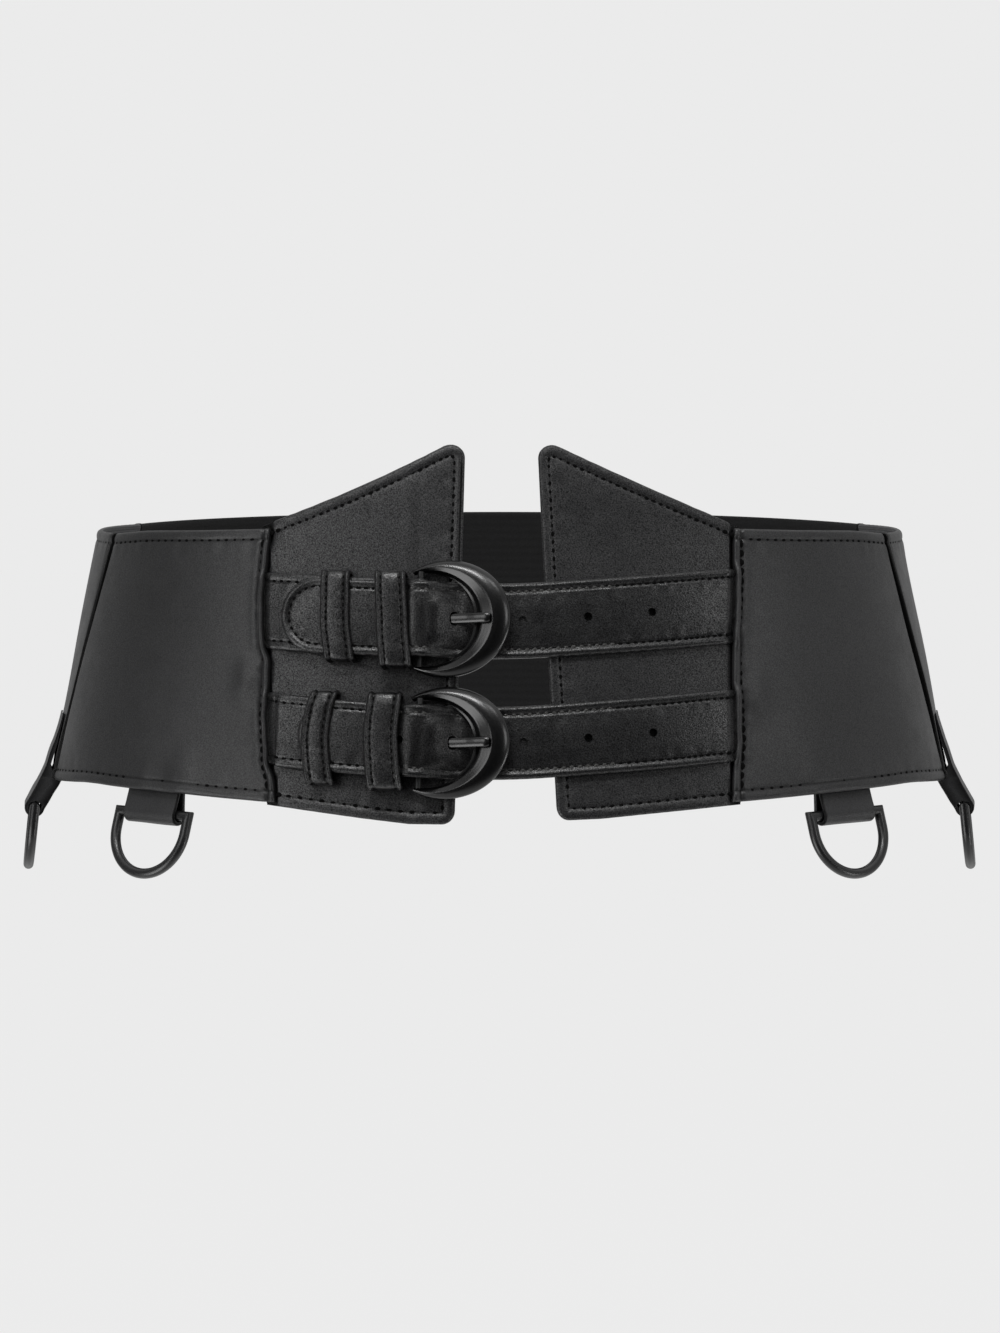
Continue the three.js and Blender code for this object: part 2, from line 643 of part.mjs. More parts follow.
function dRing(where) {
  const radius = RING.rod / 2;
  const barLong = RING.outerWidth - RING.rod;
  const corners = [];
  for (let i = 0; i < RING.sides; i += 1) {
    const turn = (2 * Math.PI * i) / RING.sides;
    corners.push(new THREE.Vector2(radius * Math.cos(turn), radius * Math.sin(turn)));
  }
  const bow = new THREE.ExtrudeGeometry(new THREE.Shape(corners), {
    steps: RING.bowSteps, extrudePath: new RingBow(), bevelEnabled: false,
  });
  const bar = new THREE.CylinderGeometry(radius, radius, barLong, RING.sides);
  bar.rotateZ(Math.PI / 2);
  const shoulders = [-1, 1].map((end) => {
    const ball = new THREE.SphereGeometry(radius, RING.sides, RING.ballRows);
    return ball.translate((end * barLong) / 2, 0, 0);
  });
  const swing = new THREE.Matrix4().makeRotationX((-where.lean * Math.PI) / 180);
  return join(bow, bar, ...shoulders).applyMatrix4(barFrame(where, true).multiply(swing));
}

// Tab: a strip folded round the ring's bar, with one layer on each side of it
function ringTab(where) {
  const { outer, inner, foldFrom, foldTo, columns } = where.side ? SIDE_TAB : HANGING_TAB;
  const around = RING.rod / 2 + TAB.barGap + TAB.thick / 2;
  const turns = { from: foldFrom, to: foldTo, steps: TAB.foldSteps };
  const fold = arcPath({ x: 0, y: 0 }, around, turns).map(({ x, y }) => ({ up: y, out: x }));
  const path = [...outer, ...fold, ...inner].map(({ up, out }) => ({ x: up, y: out }));
  const sides = stripSides(path, TAB.thick);
  const grid = (face) => (i, j) => {
    const { x, y } = sides[i][face];
    return new THREE.Vector3((j / (columns - 1) - 0.5) * TAB.width, x, y);
  };
  return slab(path.length, columns, grid("plus"), grid("minus")).applyMatrix4(barFrame(where, false));
}

const LOOKS = {
  panel: { color: 0x1d1d1e, roughness: 0.62, metalness: 0 },
  strap: { color: 0x161617, roughness: 0.5, metalness: 0 },
  elastic: { color: 0x101010, roughness: 0.9, metalness: 0 },
  buckle: { color: 0x0b0b0c, roughness: 0.18, metalness: 0.6 },
  ring: { color: 0x1a1a1b, roughness: 0.4, metalness: 0.6 },
};

const belt = new THREE.Group();

function add(name, look, geometry) {
  const mesh = new THREE.Mesh(geometry, new THREE.MeshStandardMaterial(LOOKS[look]));
  mesh.name = name;
  belt.add(mesh);
}

for (const side of ["left", "right"]) {
  add(`front_panel_${side}`, "panel", frontPanel(side));
  add(`side_panel_${side}`, "panel", sidePanel(side));
  add(`back_side_panel_${side}`, "panel", backSidePanel(side));
}
add("elastic_back", "elastic", elasticBack());
for (const level of ["upper", "lower"]) {
  add(`${level}_strap`, "strap", longStrap(level));
  add(`${level}_buckle_strap`, "strap", baseStrap(level));
  add(`${level}_buckle_frame`, "buckle", buckle(level));
  add(`${level}_prong`, "buckle", prongShape(level, 0));
}
for (const row of KEEPERS) add(row.name, "strap", keeper(row));
for (const where of RING_PLACES) {
  add(`ring_tab_${where.name}`, "strap", ringTab(where));
  add(`d_ring_${where.name}`, "ring", dRing(where));
}

export default belt;
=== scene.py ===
import math

import bpy
import numpy as np
from mathutils import Matrix, Vector


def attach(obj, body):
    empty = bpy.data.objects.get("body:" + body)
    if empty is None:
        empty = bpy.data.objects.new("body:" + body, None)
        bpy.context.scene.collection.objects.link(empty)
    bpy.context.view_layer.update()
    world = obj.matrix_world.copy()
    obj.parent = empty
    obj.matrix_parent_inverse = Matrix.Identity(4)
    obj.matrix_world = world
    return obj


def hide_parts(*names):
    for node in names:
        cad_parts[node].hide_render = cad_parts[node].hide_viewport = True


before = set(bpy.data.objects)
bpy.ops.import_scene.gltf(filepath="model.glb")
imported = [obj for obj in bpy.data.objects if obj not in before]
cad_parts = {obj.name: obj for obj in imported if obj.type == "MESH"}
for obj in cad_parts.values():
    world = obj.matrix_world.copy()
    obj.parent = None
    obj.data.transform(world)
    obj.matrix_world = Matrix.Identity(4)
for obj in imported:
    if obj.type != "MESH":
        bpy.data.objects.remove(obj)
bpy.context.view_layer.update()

MM = 0.001
BELT = "belt"
SIDES = {"left": -1, "right": 1}

# Driving sizes, as in the part
WAIST = dict(half_width=132.7, half_depth=98.0, side_flare=0.197, front_flare=0.16, power=2.4)
PANEL_THICK = 2.0
PANEL_TOP = 41.8
SIDE_EDGES = dict(
    across=[0.0, 0.1, 0.3, 0.65, 1.0],
    top=[39.6, 40.1, 41.0, 41.5, 42.2],
    bottom=[-36.6, -36.1, -35.1, -36.2, -38.2],
)
SEAMS = dict(
    left=dict(front=75.4, front_step=-0.135, back=143.4, back_step=0.236),
    right=dict(front=76.9, front_step=-0.122, back=143.4, back_step=0.236),
)
FRONT = dict(
    left=dict(edge_top=11.3, edge_bottom=12.4, rise=0.577, flatten=0.00197, peak=70.2,
              foot=[-44.0, -43.9, -42.4, -38.6]),
    right=dict(edge_top=12.6, edge_bottom=15.9, rise=0.5136, flatten=0.0009, peak=69.7,
               foot=[-42.9, -42.4, -41.2, -38.7]),
)
# How far the middle of the fold over each front seam lies outward of the seam line, by height
FOLD_SHIFT = dict(
    left=[(-37, -0.3), (-33, -0.3), (-27.4, 0.84), (-20, 1.1), (-11, 1.1), (-7, 0.75),
          (-2.5, 0.33), (0.4, 0.27), (2.8, 0.1), (6.3, 0.94), (12.2, 1.5), (21, 1.38),
          (28.4, 0.97), (32.8, 0.3), (37, 0), (41, -0.6)],
    right=[(-37, -0.1), (-33, -0.2), (-27.4, 0.1), (-20, 0.3), (-11, 0.1), (-7, -0.2),
           (-2.5, -0.4), (0.4, -0.6), (6.3, -0.6), (12.2, -0.8), (21, -0.2), (32.8, -0.2),
           (37, -0.3), (41, -0.3)],
)
FOLD_WIDE = dict(left=1.7, right=2.1)
# Heights between which each strap runs into its seam
STRAP_ZONES = dict(left=((28.6, 5.6), (-6.4, -27.6)), right=((30.6, 7.8), (-5.2, -26.2)))
FRONT_CORNER = 4.0
FRONT_FOOT_AT = [0, 14, 28, 60]
FRONT_EDGE = (65, -40)
BACK_SEAM = 236.0
BACK = dict(thick=1.5, inset=0.3, top=42.8, seam_top=40.2, bottom=-33.2, side_inset=0.1,
            overlap=2.2)
STRAP = dict(thick=1.9, tip_radius=11.0, slot_spare=0.6)
HOLE = dict(radius=1.25, deep=14.0, out=4.0, dent_deep=2.0, dent_rise=0.45)
STRAPS = dict(
    upper=dict(half=11.0, end=75.0, tip=-65.6, holes=[26.6, 46.0], dent=7.0, buckle_shade=0.18),
    lower=dict(half=10.6, end=71.0, tip=-57.3, holes=[-28.1, 25.3, 43.9], dent=6.8, buckle_shade=0.4),
)
STRAP_MIDDLE = dict(
    upper=([-76, -52, -20, 5, 76], [17.6, 16.2, 15.3, 15.0, 19.4]),
    lower=([-76, -45, -20, 5, 72], [-16.4, -19.0, -20.5, -20.6, -15.6]),
)
STRAP_LIFT = (
    [-68, -34, -30.5, -25.7, -21.6, -13.8, -8, 3, 78],
    [2.85, 2.85, 3.1, 5.5, 5.5, 0.9, 0.6, 0.4, 0.3],
)
# How much later the middle of a long strap comes down behind its bar
LATE_FALL = 3.2
# How much thinner a long strap is under the fold of the seam
UNDER_FOLD = 1.7
# Where a long strap starts to bend toward its slanted seam, before its end
SLANT_FROM = 26
BASE = dict(thick=1.0, out=1.5, seam_out=0.3, seam_end=-72.0, under=1.6, fold_start=5.5)
BASE_STRAPS = dict(upper=dict(half=11.3, raised=0.6), lower=dict(half=10.6, raised=0.2))
KEEPER = dict(thick=0.9, corner=1.1, inner=0.3)
ROUND_FROM, ROUND_DROP = 5.5, 1.5
# Middle line of each strap loop: along at its top and bottom, and how far it bows between them
KEEPERS = dict(
    upper_keeper_1=dict(width=8.9, top=-49.8, bottom=-46.8, bow=-0.6, front=5.1, high=29.6,
                        low=3.0),
    upper_keeper_2=dict(width=9.3, top=-33.1, bottom=-30.2, bow=0, front=7.6, high=29.3, low=1.1),
    lower_keeper_1=dict(width=7.9, top=-50.2, bottom=-49.8, bow=-2, front=5.1, high=-5.7,
                        low=-32.8),
    lower_keeper_2=dict(width=9.6, top=-32.7, bottom=-31.5, bow=-1, front=7.4, high=-6.2,
                        low=-34.2),
)
BUCKLE = dict(
    across=19.0, horn_top=124, horn_bottom=120, bow_width=11.1, horn_width=1.5, bow_height=2.0,
    horn_height=0.9, taper=1.15, bar_radius=1.0, bar_inset=1.6, bar_out=2.75, bow_out=6.7,
    clear=0.2,
)
BUCKLES = dict(
    upper=dict(along=-15.8, height=15.5, up=17.3),
    lower=dict(along=-15.2, height=-20.7, up=16.45),
)
BAR_ALONG = -8.0
# Section of a bow, from its outer edge inward: share of its width, share of its height
BOW_SECTION = [
    (0.0, -0.35), (0.0, 0.05), (0.1, 0.5), (0.26, 0.85), (0.4, 1.0), (0.46, 1.0), (0.55, 0.87),
    (0.65, 0.71), (0.75, 0.53), (0.82, 0.2), (0.88, -0.15), (0.94, -0.5), (0.1, -0.5),
]
PRONG = dict(wide=3.0, thick=1.2, loop_gap=0.2, rest=(11.9, 13.5), rest_gap=0.3, hook=(40, 300),
             ends=(0.72, 0.92), power=2.3)
PRONG_SHAFT = [(-5.2, -0.9), (-2.5, -0.4), (0.5, 0.1), (3.5, 0.6), (6.4, 1.25), (9.0, 2.1)]
RING = dict(outer=29.6, height=21.5, rod=3.1)
TAB = dict(width=19.5, thick=1.3, bar_gap=0.2, skive=0.95)
HANGING_TAB = dict(
    outer=[(10.2, 0.75), (6.2, 0.75)], fold=(20, -200), inner=[(6.2, -0.75), (10.2, -0.75)],
)
SIDE_TAB = dict(
    outer=[(30, -2.35), (20, -2.25), (13, -2.1), (6, 0.3)], fold=(12, -190),
    inner=[(8, -6.4), (14, -6.6)],
)
# The sewn box on a side tab: half its width, its top and its bottom above the ring's bar
TAB_BOX = (7.6, 27.5, 14.5)
RING_PLACES = dict(
    front_left=dict(along=-104.4, height=-42.5, out=-4.3, side=False, tip=1.5, lean=17),
    front_right=dict(along=104.4, height=-42.5, out=-4.3, side=False, tip=-1.5, lean=17),
    side_left=dict(along=-174.0, height=-46.0, out=3.1, side=True, tip=0, lean=6),
    side_right=dict(along=174.0, height=-46.0, out=3.1, side=True, tip=0, lean=6),
)

# How far the stitches lie inside an edge
INSET = dict(panel=3.1, flap=3.3, strap=2.5, keeper=1.85)
STITCH_HIGH = 0.4
# Rows of stitches: step from one to the next, length and width of one
ROWS = dict(
    edge=(3.0, 1.75, 1.0), seam=(2.7, 2.25, 1.65), flap=(2.45, 1.85, 1.25),
    foot_left=(3.3, 2.3, 1.35), foot_right=(2.7, 1.9, 1.1), strap=(2.3, 1.6, 1.0),
    base=(2.5, 1.6, 1.0), keeper=(2.1, 1.5, 1.0), tab=(2.5, 1.75, 1.0),
)
# Steps of a grid next to an edge, from the edge inward
EDGE_STEPS = np.array([
    0, 0.08, 0.2, 0.38, 0.6, 0.85, 1.15, 1.45, 1.75, 2.05, 2.3, 2.55, 2.8, 3.05, 3.3, 3.55, 3.85,
    4.3, 5.0, 6.0,
])
OUTLINE_STEP = 0.25
# Edges that meet at more than this are drawn sharp
SHARP = math.radians(38)


# The waist surface

TURNS = np.linspace(-np.pi, np.pi, 5761)


def oval(turn, height):
    s, c = np.sin(turn), np.cos(turn)
    share = 2 / WAIST["power"]
    a = WAIST["half_width"] - WAIST["side_flare"] * height
    b = WAIST["half_depth"] - WAIST["front_flare"] * height
    return a * np.sign(s) * np.abs(s) ** share, -b * np.sign(c) * np.abs(c) ** share


def arc_table():
    x, y = oval(TURNS, 0.0)
    table = np.concatenate([[0], np.cumsum(np.hypot(np.diff(x), np.diff(y)))])
    return table - table[-1] / 2


ARCS = arc_table()
HALF_ROUND = ARCS[-1]


def on_surface(along, height):
    along, height = np.broadcast_arrays(np.asarray(along, float), np.asarray(height, float))
    wrapped = along - 2 * HALF_ROUND * np.round(along / (2 * HALF_ROUND))
    x, y = oval(np.interp(wrapped, ARCS, TURNS), height)
    return np.stack([x, y, height], axis=-1)


def unit(v):
    return v / np.linalg.norm(v, axis=-1, keepdims=True)


def axes_at(along, height):
    """Directions round the waist, up the surface and straight out."""
    along, height = np.asarray(along, float), np.asarray(height, float)
    around = unit(on_surface(along + 0.5, height) - on_surface(along - 0.5, height))
    up = unit(on_surface(along, height + 0.5) - on_surface(along, height - 0.5))
    return around, up, unit(np.cross(around, up))


def place(along, height, out):
    along, height, out = np.broadcast_arrays(
        np.asarray(along, float), np.asarray(height, float), np.asarray(out, float)
    )
    return on_surface(along, height) + axes_at(along, height)[2] * out[..., None]


def coordinates_of(point, along, height, out):
    """The along, height and out of a point near the surface, closed in on from a first guess."""
    for _ in range(6):
        around, up, away = axes_at(along, height)
        miss = point - place(along, height, out)
        along = along + (miss * around).sum(axis=-1)
        height = height + (miss * up).sum(axis=-1) * up[..., 2]
        out = out + (miss * away).sum(axis=-1)
    return along, height, out


def matrix_of(x, y, z, spot):
    return Matrix([[x[i], y[i], z[i], spot[i]] for i in range(3)] + [[0, 0, 0, 1]])


def local_frame(along, height, out):
    return matrix_of(*axes_at(along, height), place(along, height, out))


# Reading and smoothing

def mix(a, b, share):
    return a + (b - a) * share


def rising(x, start, end):
    """0 before start, 1 after end, and smooth between them."""
    t = np.clip((np.asarray(x, float) - start) / (end - start), 0, 1)
    return t * t * (3 - 2 * t)


def bell(x, width):
    return np.exp(-((x / width) ** 2))


def rounded(distance, radius):
    """Height of a rounded rim: minus the radius at the edge, 0 from the radius inward."""
    fall = np.sqrt(np.maximum(radius ** 2 - (radius - distance) ** 2, 0)) - radius
    return np.where(distance < radius, fall, 0)


def smooth_read(at, keys, values, reach=1.6):
    """Reading of a short table, averaged over a little way to each side."""
    offsets = np.linspace(-reach, reach, 9)
    weights = 1 - np.abs(offsets) / (reach * 1.25)
    total = sum(w * np.interp(np.asarray(at) + o, keys, values) for o, w in zip(offsets, weights))
    return total / weights.sum()


def even_read(at, keys, values, step):
    """Reading of a short table, averaged over five places a step apart."""
    return sum(np.interp(np.asarray(at) + i * step, keys, values) for i in range(-2, 3)) / 5


def strap_middle(level, along):
    keys, values = STRAP_MIDDLE[level]
    return even_read(along, keys, values, (keys[-1] - keys[0]) / 40)


def waves(x, seed, lengths, heights):
    """Uneven waves along x, the same in each run."""
    random = np.random.default_rng(seed)
    total = 0
    for length, height in zip(lengths, heights):
        phase = random.uniform(0, 2 * np.pi)
        total = total + height * np.sin(2 * np.pi * np.asarray(x) / length + phase)
    return total


def dune(x, y, seed, length, height, count=6):
    """Soft uneven rise and fall over a surface, from crossing waves."""
    random = np.random.default_rng(seed)
    total = 0
    for _ in range(count):
        turn = random.uniform(0, np.pi)
        stretch = length * random.uniform(0.7, 1.6)
        phase = random.uniform(0, 2 * np.pi)
        run = x * np.cos(turn) + y * np.sin(turn)
        total = total + np.sin(2 * np.pi * run / stretch + phase)
    return height * total / math.sqrt(count)


def travelled(path):
    """Distance along a path to each of its points."""
    steps = np.linalg.norm(np.diff(path, axis=0), axis=1)
    return np.concatenate([[0], np.cumsum(steps)])


def resample(path, step=OUTLINE_STEP):
    """Points at even steps along a path of points in rows."""
    path = np.asarray(path, float)
    lengths = travelled(path)
    count = max(int(round(lengths[-1] / step)), 1)
    at = np.linspace(0, lengths[-1], count + 1)
    return np.stack([np.interp(at, lengths, column) for column in path.T], axis=1)


def nearest_on(points, path, batch=4000):
    """Distance from each point to a dense path, and how far along the path the nearest is."""
    flat = points.reshape(-1, 2)
    lengths = travelled(path)
    distance, at = np.empty(len(flat)), np.empty(len(flat))
    for start in range(0, len(flat), batch):
        part = flat[start:start + batch]
        square = ((part[:, None, :] - path[None, :, :]) ** 2).sum(axis=2)
        index = square.argmin(axis=1)
        distance[start:start + batch] = np.sqrt(square[np.arange(len(part)), index])
        at[start:start + batch] = lengths[index]
    return distance.reshape(points.shape[:-1]), at.reshape(points.shape[:-1])


def left_of(path):
    """Direction to the left of a plane path at each of its points."""
    ahead = unit(np.gradient(path, axis=0))
    return np.stack([-ahead[:, 1], ahead[:, 0]], axis=1)


def inset_path(path, distance):
    """The path moved to its left by a distance."""
    return path + left_of(path) * distance


def spread(low, high, interior):
    """Grid positions from low to high, closest together next to both edges."""
    low, high = np.asarray(low, float)[..., None], np.asarray(high, float)[..., None]
    middle = np.linspace(0, 1, interior + 2)[1:-1]
    inside = mix(low + EDGE_STEPS[-1], high - EDGE_STEPS[-1], middle)
    return np.concatenate([low + EDGE_STEPS, inside, high - EDGE_STEPS[::-1]], axis=-1)


def circle(corners):
    """Angles of a circle's corners."""
    return np.linspace(0, 2 * np.pi, corners + 1)[:-1]


# Meshes

def add_object(name, data):
    thing = bpy.data.objects.new(name, data)
    bpy.context.scene.collection.objects.link(thing)
    return thing


def new_object(name, vertices, faces, material, uv=None):
    mesh = bpy.data.meshes.new(name)
    mesh.from_pydata((np.asarray(vertices) * MM).tolist(), [], faces)
    mesh.update()
    if uv is not None:
        layer = mesh.uv_layers.new(name="surface")
        index = np.empty(len(mesh.loops), dtype=np.int32)
        mesh.loops.foreach_get("vertex_index", index)
        layer.data.foreach_set("uv", (np.asarray(uv)[index] * MM).ravel())
    face_out(mesh)
    mesh.shade_smooth()
    mesh.set_sharp_from_angle(angle=SHARP)
    mesh.materials.append(material)
    return add_object(name, mesh)


def face_out(mesh):
    """Turns a closed mesh's faces outward if its volume comes out negative."""
    mesh.calc_loop_triangles()
    corners = np.empty(len(mesh.loop_triangles) * 3, dtype=np.int32)
    mesh.loop_triangles.foreach_get("vertices", corners)
    spots = np.empty(len(mesh.vertices) * 3)
    mesh.vertices.foreach_get("co", spots)
    a, b, c = spots.reshape(-1, 3)[corners.reshape(-1, 3)].transpose(1, 0, 2)
    if (a * np.cross(b, c)).sum() < 0:
        mesh.flip_normals()


def grid_faces(columns, rows, closed):
    """Faces of a closed wall between two grids: front, back and the rims that join them."""
    size = columns * rows
    steps = columns if closed else columns - 1
    i, j = np.meshgrid(np.arange(steps), np.arange(rows - 1), indexing="ij")
    k = (i + 1) % columns
    corners = [i * rows + j, k * rows + j, k * rows + j + 1, i * rows + j + 1]
    front = np.stack(corners, axis=-1).reshape(-1, 4)
    faces = [front, front[:, ::-1] + size]
    here, following = i[:, 0] * rows, k[:, 0] * rows
    for row in (0, rows - 1):
        a, b = here + row, following + row
        rim = np.stack([a, a + size, b + size, b], axis=-1)
        faces.append(rim[:, ::-1] if row else rim)
    if not closed:
        for column in (0, columns - 1):
            a = column * rows + j[0]
            rim = np.stack([a, a + size, a + size + 1, a + 1], axis=-1)
            faces.append(rim if column else rim[:, ::-1])
    return np.concatenate(faces).tolist()


def slab(name, front, back, material, uv=None, closed=False, painted_shade=None, lining=None):
    """Closed wall between two grids of points. The painted shade values say where its front is
    painted dark.
    """
    columns, rows = front.shape[:2]
    vertices = np.concatenate([front.reshape(-1, 3), back.reshape(-1, 3)])
    if uv is not None:
        uv = np.concatenate([uv.reshape(-1, 2)] * 2)
    piece = new_object(name, vertices, grid_faces(columns, rows, closed), material, uv)
    if painted_shade is not None:
        painted_shade = np.broadcast_to(painted_shade, (columns, rows)).ravel()
        values = np.concatenate([painted_shade, np.zeros(columns * rows)]).astype(np.float32)
        layer = piece.data.attributes.new("painted_shade", "FLOAT", "POINT")
        layer.data.foreach_set("value", values)
    if lining is not None:
        piece.data.materials.append(lining)
        inside = (columns if closed else columns - 1) * (rows - 1)
        index = np.zeros(len(piece.data.polygons), dtype=np.int32)
        index[inside:2 * inside] = 1
        piece.data.polygons.foreach_set("material_index", index)
    return piece


def tube_faces(count, corners, closed=False):
    """Faces round a row of closed sections, and its two ends unless the row is closed."""
    steps = count if closed else count - 1
    i, j = np.meshgrid(np.arange(steps), np.arange(corners), indexing="ij")
    here, after = i * corners, (i + 1) % count * corners
    k = (j + 1) % corners
    quads = np.stack([here + j, here + k, after + k, after + j], axis=-1).reshape(-1, 4)
    last = (count - 1) * corners
    ends = [list(range(corners))[::-1], list(range(last, last + corners))]
    return quads, [] if closed else ends


def sweep(name, sections, material, closed_path=False):
    """Solid through a row of closed sections, each an array of points."""
    sections = np.asarray(sections)
    quads, ends = tube_faces(*sections.shape[:2], closed_path)
    return new_object(name, sections.reshape(-1, 3), quads.tolist() + ends, material)


def move(piece, matrix):
    """Puts a piece that was made in its own frame, in millimetres, where the matrix says."""
    scaled = matrix.copy()
    scaled.translation = matrix.translation * MM
    piece.data.transform(scaled)
    return piece


def cut(piece, tools):
    """Cuts the tools out of the piece's own mesh and removes them."""
    for tool in tools:
        modifier = piece.modifiers.new("cut", "BOOLEAN")
        modifier.operation, modifier.solver, modifier.object = "DIFFERENCE", "EXACT", tool
        bpy.context.view_layer.update()
        graph = bpy.context.evaluated_depsgraph_get()
        mesh = bpy.data.meshes.new_from_object(piece.evaluated_get(graph))
        piece.modifiers.clear()
        piece.data = mesh
        bpy.data.objects.remove(tool)
    piece.data.set_sharp_from_angle(angle=SHARP)


def finish_piece(piece, body, slot, *nodes):
    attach(piece, body)
    if nodes:
        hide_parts(*nodes)


# Materials

class Nodes:
    """Short way to write the node tree of a material or a world."""

    def __init__(self, owner):
        owner.use_nodes = True
        self.owner, self.tree = owner, owner.node_tree

    def add(self, kind, inputs=(), **settings):
        node = self.tree.nodes.new(kind)
        for key, value in settings.items():
            setattr(node, key, value)
        for key, value in dict(inputs).items():
            self.feed(node.inputs[key], value)
        return node

    def feed(self, socket, value):
        if isinstance(value, bpy.types.NodeSocket):
            self.tree.links.new(value, socket)
        elif isinstance(value, tuple) and len(value) == 3 and socket.type == "RGBA":
            socket.default_value = (*value, 1)
        else:
            socket.default_value = value

    def spot(self, kind="Object"):
        return self.add("ShaderNodeTexCoord").outputs[kind]

    def noise(self, scale, detail=3.0, roughness=0.55):
        inputs = {"Vector": self.spot(), "Scale": scale, "Detail": detail, "Roughness": roughness}
        return self.add("ShaderNodeTexNoise", inputs).outputs["Fac"]

    def cells(self, scale):
        inputs = {"Vector": self.spot(), "Scale": scale}
        return self.add("ShaderNodeTexVoronoi", inputs).outputs["Distance"]

    def bands(self, way, scale, distortion, detail, detail_scale):
        """Waves across the laid-out surface."""
        inputs = {
            "Vector": self.add("ShaderNodeUVMap", uv_map="surface").outputs["UV"], "Scale": scale,
            "Distortion": distortion, "Detail": detail, "Detail Scale": detail_scale,
        }
        settings = dict(wave_type="BANDS", bands_direction=way)
        return self.add("ShaderNodeTexWave", inputs, **settings).outputs["Fac"]

    def span(self, value, low, high, start=0.0, end=1.0, **settings):
        """The value, which goes from start to end, turned into low to high."""
        inputs = {"Value": value, "From Min": start, "From Max": end, "To Min": low, "To Max": high}
        return self.add("ShaderNodeMapRange", inputs, **settings).outputs["Result"]

    def math(self, operation, a, b):
        return self.add("ShaderNodeMath", {0: a, 1: b}, operation=operation).outputs[0]

    def plus(self, a, b):
        return self.math("ADD", a, b)

    def times(self, a, b):
        return self.math("MULTIPLY", a, b)

    def tint(self, share, low, high):
        node = self.add("ShaderNodeMix", data_type="RGBA")
        self.feed(node.inputs["Factor"], share)
        self.feed(node.inputs[6], low)
        self.feed(node.inputs[7], high)
        return node.outputs[2]

    def bump(self, height, distance, strength=1.0, after=None):
        inputs = {"Height": height, "Distance": distance, "Strength": strength}
        if after is not None:
            inputs["Normal"] = after
        return self.add("ShaderNodeBump", inputs).outputs["Normal"]

    def set(self, **values):
        shader = self.tree.nodes["Principled BSDF"]
        for key, value in values.items():
            self.feed(shader.inputs[key.replace("_", " ").title().replace("Ior", "IOR")], value)
        return self.owner


def new_material(name):
    return Nodes(bpy.data.materials.new(name))


def leather(name, dark, light, rough, grain, speck, soft=0.0):
    """Coated faux leather: pebble grain, uneven gloss, a little wear, and painted shade in folds,
    seams and stitch lines.
    """
    n = new_material(name)
    fine = n.noise(2700, 2.0, 0.6)
    broad = n.noise(28, 4.0)
    smear = n.noise(160)
    painted_shade = n.add("ShaderNodeAttribute", attribute_name="painted_shade").outputs["Fac"]
    wear_and_shade = n.plus(n.times(broad, 1 - speck), n.times(fine, speck))
    clean = n.tint(n.span(wear_and_shade, 0, 1, 0.36, 0.66), dark, light)
    # Painted shade: where a piece marks its grooves, seams and stitch lines, the colour goes to
    # near black and the gloss fades
    colour = n.tint(painted_shade, clean, (0.0006, 0.0006, 0.0006))
    pebbles = n.plus(n.cells(1700), n.times(fine, 1.4))
    normal = n.bump(smear, 0.0004, 0.15 + soft, n.bump(pebbles, 0.000014 * grain, 0.8))
    uneven = n.plus(n.times(smear, 0.5), n.times(fine, 0.5))
    gloss = n.span(uneven, rough + 0.08, rough - 0.08, 0.32, 0.68)
    glint = n.span(fine, 0.5 - 0.42 * speck, 0.5 + 0.42 * speck, 0.3, 0.7)
    shine = n.times(glint, n.span(painted_shade, 1, 0.15))
    return n.set(base_color=colour, roughness=gloss, normal=normal, ior=1.5,
                 specular_ior_level=shine)


def lining_cloth(name):
    """Plain woven lining inside the belt."""
    n = new_material(name)
    weft, warp = (n.bands(way, 420.0, 0.8, 1.0, 4.0) for way in "XY")
    weave = n.plus(n.times(weft, warp), n.times(n.noise(1900), 0.7))
    colour = n.tint(n.span(weave, 0, 1, 0.2, 1.0), (0.035, 0.035, 0.036), (0.11, 0.11, 0.113))
    return n.set(base_color=colour, roughness=0.9, normal=n.bump(weave, 0.00015, 0.7),
                 specular_ior_level=0.25)


def thread(name, dark, light, rough, shine):
    """Twisted sewing thread."""
    n = new_material(name)
    twist = n.noise(5200, 2.0)
    colour = n.tint(n.span(twist, 0, 1, 0.35, 0.65), dark, light)
    return n.set(base_color=colour, roughness=n.span(twist, rough + 0.1, rough - 0.1),
                 normal=n.bump(twist, 0.00012), specular_ior_level=shine)


def stretch_fabric(name):
    """Dull stretch weave with fine uneven ribs round the waist."""
    n = new_material(name)
    rib = n.bands("Y", 130.0, 1.1, 2.0, 9.0)
    fuzz = n.noise(2400, 3.0, 0.7)
    share = n.span(n.plus(n.times(rib, 0.2), fuzz), 0, 1, 0.35, 1.0)
    colour = n.tint(share, (0.0022, 0.0022, 0.0024), (0.0095, 0.0095, 0.0099))
    normal = n.bump(fuzz, 0.0003, 0.7, n.bump(rib, 0.00012, 0.4))
    return n.set(base_color=colour, roughness=n.span(fuzz, 0.95, 0.8), normal=normal,
                 specular_ior_level=0.35, sheen_weight=0.03, sheen_roughness=0.5)


def enamel(name, dark, light, rough, ripple):
    """Hard coat on metal, with a faint orange-peel surface and fine rub marks."""
    n = new_material(name)
    marks = n.noise(1900, 4.0)
    colour = n.tint(n.span(marks, 0, 1, 0.4, 0.9), dark, light)
    gloss = n.span(marks, rough * 0.93, rough * 1.1, 0.35, 0.75)
    normal = n.bump(n.noise(420, 2.0), 0.00012, ripple)
    return n.set(base_color=colour, roughness=gloss, normal=normal, ior=1.55)


